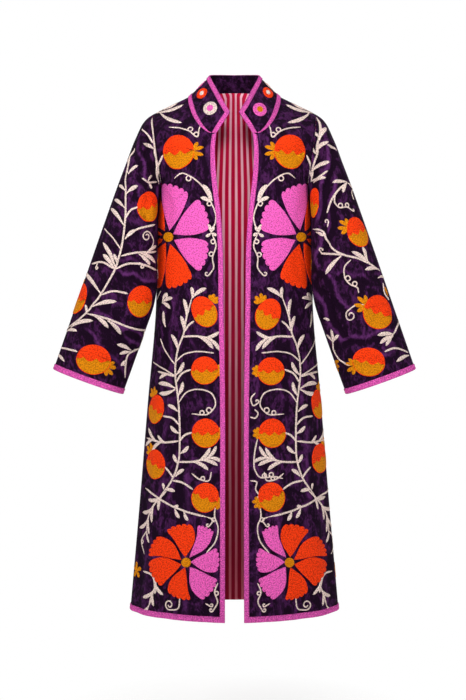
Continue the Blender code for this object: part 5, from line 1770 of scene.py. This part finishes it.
# %% The hidden sides of the sleeves
for side, name in NAMES.items():
    work = works[f"sleeve_back_{name}"]
    across, along = directions(work)

    def on_back(*spots):
        """Flat places from the distance down the sleeve and the distance out from its middle."""
        return np.array([along * down + across * (0.126 - 0.03 * (down - 0.1) / 0.62 + out) for down, out in spots])

    leafy(work, on_back((0.15, 0.012), (0.25, -0.02), (0.36, 0.012), (0.47, -0.014), (0.58, 0.014), (0.68, -0.006)),
          [(0.05, 1, 1.1), (0.12, -1, 1.0), (0.22, 1, 1.2), (0.3, -1, 1.0), (0.42, 1, 1.0), (0.5, -1, 1.2),
           (0.62, 1, 1.1), (0.7, -1, 1.0), (0.8, 1, 1.2), (0.88, -1, 1.0), (0.97, 1, 0.8)])
    for down, out, wide, high, wave in ((0.235, 0.062, 0.028, 0.031, -1), (0.33, -0.06, 0.029, 0.03, 1),
                                        (0.445, 0.06, 0.031, 0.032, -1), (0.545, -0.058, 0.031, 0.031, 1),
                                        (0.655, 0.056, 0.033, 0.03, -1), (0.65, -0.08, 0.028, 0.03, 1)):
        lean = 118 if out < 0 else 62
        pomegranate(work, on_back((down, out))[0], wide, high, lean if side > 0 else 180 - lean, 8 * side * wave, wave)
    for spots in (((0.275, -0.016), (0.262, 0.014), (0.25, 0.034)), ((0.375, 0.01), (0.352, -0.014), (0.342, -0.034)),
                  ((0.485, -0.012), (0.468, 0.014), (0.458, 0.032)), ((0.59, 0.014), (0.566, -0.01), (0.556, -0.03))):
        stem(work, on_back(*spots))
    tendril(work, on_back((0.19, 0.004), (0.2, -0.03), (0.225, -0.052)), ((0.5, 0.0046, -side),), (0.01, 1.2, side))
    tendril(work, on_back((0.42, -0.006), (0.43, -0.044), (0.455, -0.066)),
            ((0.5, 0.0046, -side),), (0.009, 1.2, side))
    tendril(work, on_back((0.54, 0.004), (0.56, 0.04), (0.545, 0.062)), ((0.4, 0.0044, side),), (0.009, 1.1, side))
print("sleeves' backs:", [works[f"sleeve_back_{name}"]["count"] for name in NAMES.values()])

# %% [markdown]
# ## Stitching becomes meshes
# The blocks of each panel are joined into one piece. Its flat spots are set on the cloth, and each of the four
# threads keeps its own material.

# %% Join the stitching of each panel
def stitched_piece(name, parts):
    """One mesh from the work of one or more charts of a panel."""
    points, maps, faces, marks, count = [], [], [], [], 0
    for work in parts:
        flat, lift = np.concatenate(work["flat"]), np.concatenate(work["lift"])
        points.append(on_cloth(work, flat, lift))
        maps.append(np.concatenate(work["map"]))
        faces += [block + count for block in work["faces"]]
        marks += work["marks"]
        count += work["count"]
    return mesh_piece(name, np.concatenate(points), faces, np.concatenate(maps), marks, threads)


stitching = {}
for panel in ("front_right", "front_left", "back", "sleeve_right", "sleeve_left", "collar"):
    charts = {panel, panel.replace("sleeve_", "sleeve_back_")}
    charts |= {"collar_right", "collar_left"} if panel == "collar" else set()
    stitching[panel] = stitched_piece(f"embroidery_{panel}", [works[k] for k in sorted(charts)])
    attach(stitching[panel], "root")
print({name: len(o.data.polygons) for name, o in stitching.items()})

# %% [markdown]
# ## Riding
# Each piece rides on the coat's one body and hides the solid it stands for.

for node, made in pieces.items():
    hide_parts(node)
    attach(made, "root")

# %% [markdown]
# ## Studio
# The coat stands in the air over a pale floor, filled out as it is worn. A level camera with a long lens looks
# straight at its front. Large soft lights stand at both sides of the camera, and a pale room fills the shade.

# %% Camera, lights and floor
scene = bpy.context.scene
camera_data = bpy.data.cameras.new("camera")
camera_data.lens = 36 * FOCAL / PICTURE_HIGH
camera = bpy.data.objects.new("camera", camera_data)
camera.location = (-0.0033, -EYE_DISTANCE, EYE_HEIGHT)
camera.rotation_euler = (np.pi / 2, 0, 0)
scene.collection.objects.link(camera)
scene.camera = camera


def soft_light(name, place, look_at, size, power, spread=180):
    data = bpy.data.lights.new(name, "AREA")
    data.shape, data.size, data.energy, data.spread = "DISK", size, power, np.radians(spread)
    made = bpy.data.objects.new(name, data)
    made.location = place
    made.rotation_euler = (Vector(look_at) - Vector(place)).to_track_quat("-Z", "Y").to_euler()
    scene.collection.objects.link(made)


soft_light("key", (-1.9, -2.6, 0.9), (0, 0, -0.5), 1.4, 53)
soft_light("fill", (2.1, -2.5, 0.3), (0, 0, -0.6), 2.0, 24)
soft_light("front", (0.0, -2.9, 0.1), (0, 0, -0.16), 0.5, 3.6, spread=46)
soft_light("behind", (0.4, 2.6, 0.9), (0, 0, -0.5), 1.8, 34)

world = bpy.data.worlds.new("studio")
world.use_nodes = True
tree = world.node_tree
ray = tree.nodes.new("ShaderNodeLightPath")
mix = tree.nodes.new("ShaderNodeMixShader")
fill_room = tree.nodes["Background"]
fill_room.inputs["Color"].default_value = (1, 1, 1, 1)
fill_room.inputs["Strength"].default_value = 0.62
seen_room = tree.nodes.new("ShaderNodeBackground")
seen_room.inputs["Color"].default_value = (1, 1, 1, 1)
tree.links.new(ray.outputs["Is Camera Ray"], mix.inputs["Fac"])
tree.links.new(fill_room.outputs["Background"], mix.inputs[1])
tree.links.new(seen_room.outputs["Background"], mix.inputs[2])
tree.links.new(mix.outputs["Shader"], tree.nodes["World Output"].inputs["Surface"])
scene.world = world
scene.view_settings.view_transform = "Standard"

FLOOR_Z, FLOOR_RADIUS = -1.46, 2.6
angle = np.linspace(0, 2 * np.pi, 96, endpoint=False)
ring = np.stack([np.cos(angle), np.sin(angle), 0 * angle], axis=-1)
radii = np.linspace(0.02, FLOOR_RADIUS, 9)
floor_points = (ring[None] * radii[:, None, None]).reshape(-1, 3) + np.array([0, 0, FLOOR_Z])
floor = bpy.data.meshes.new("floor")
floor.from_pydata(floor_points.tolist(), [], [tuple(range(96))] + grid_cells(8, 96, wrap=True)[:, ::-1].tolist())
floor_finish, tree, principled, place = shader("floor_paint", 0.9)
across, up = split(tree, place.outputs["Object"])
far = math(tree, "SQRT", math(tree, "ADD", math(tree, "POWER", across, 2.0), math(tree, "POWER", up, 2.0)))
principled.inputs["Base Color"].default_value = (0.93, 0.93, 0.92, 1)
light = tree.nodes.new("ShaderNodeEmission")
light.inputs["Color"].default_value = (1, 1, 1, 1)
blend = tree.nodes.new("ShaderNodeMixShader")
tree.links.new(between(tree, far, 0.02, 0.5), blend.inputs["Fac"])
tree.links.new(principled.outputs["BSDF"], blend.inputs[1])
tree.links.new(light.outputs["Emission"], blend.inputs[2])
tree.links.new(blend.outputs["Shader"], tree.nodes["Material Output"].inputs["Surface"])
floor.materials.append(floor_finish)
floor_piece = bpy.data.objects.new("floor", floor)
scene.collection.objects.link(floor_piece)
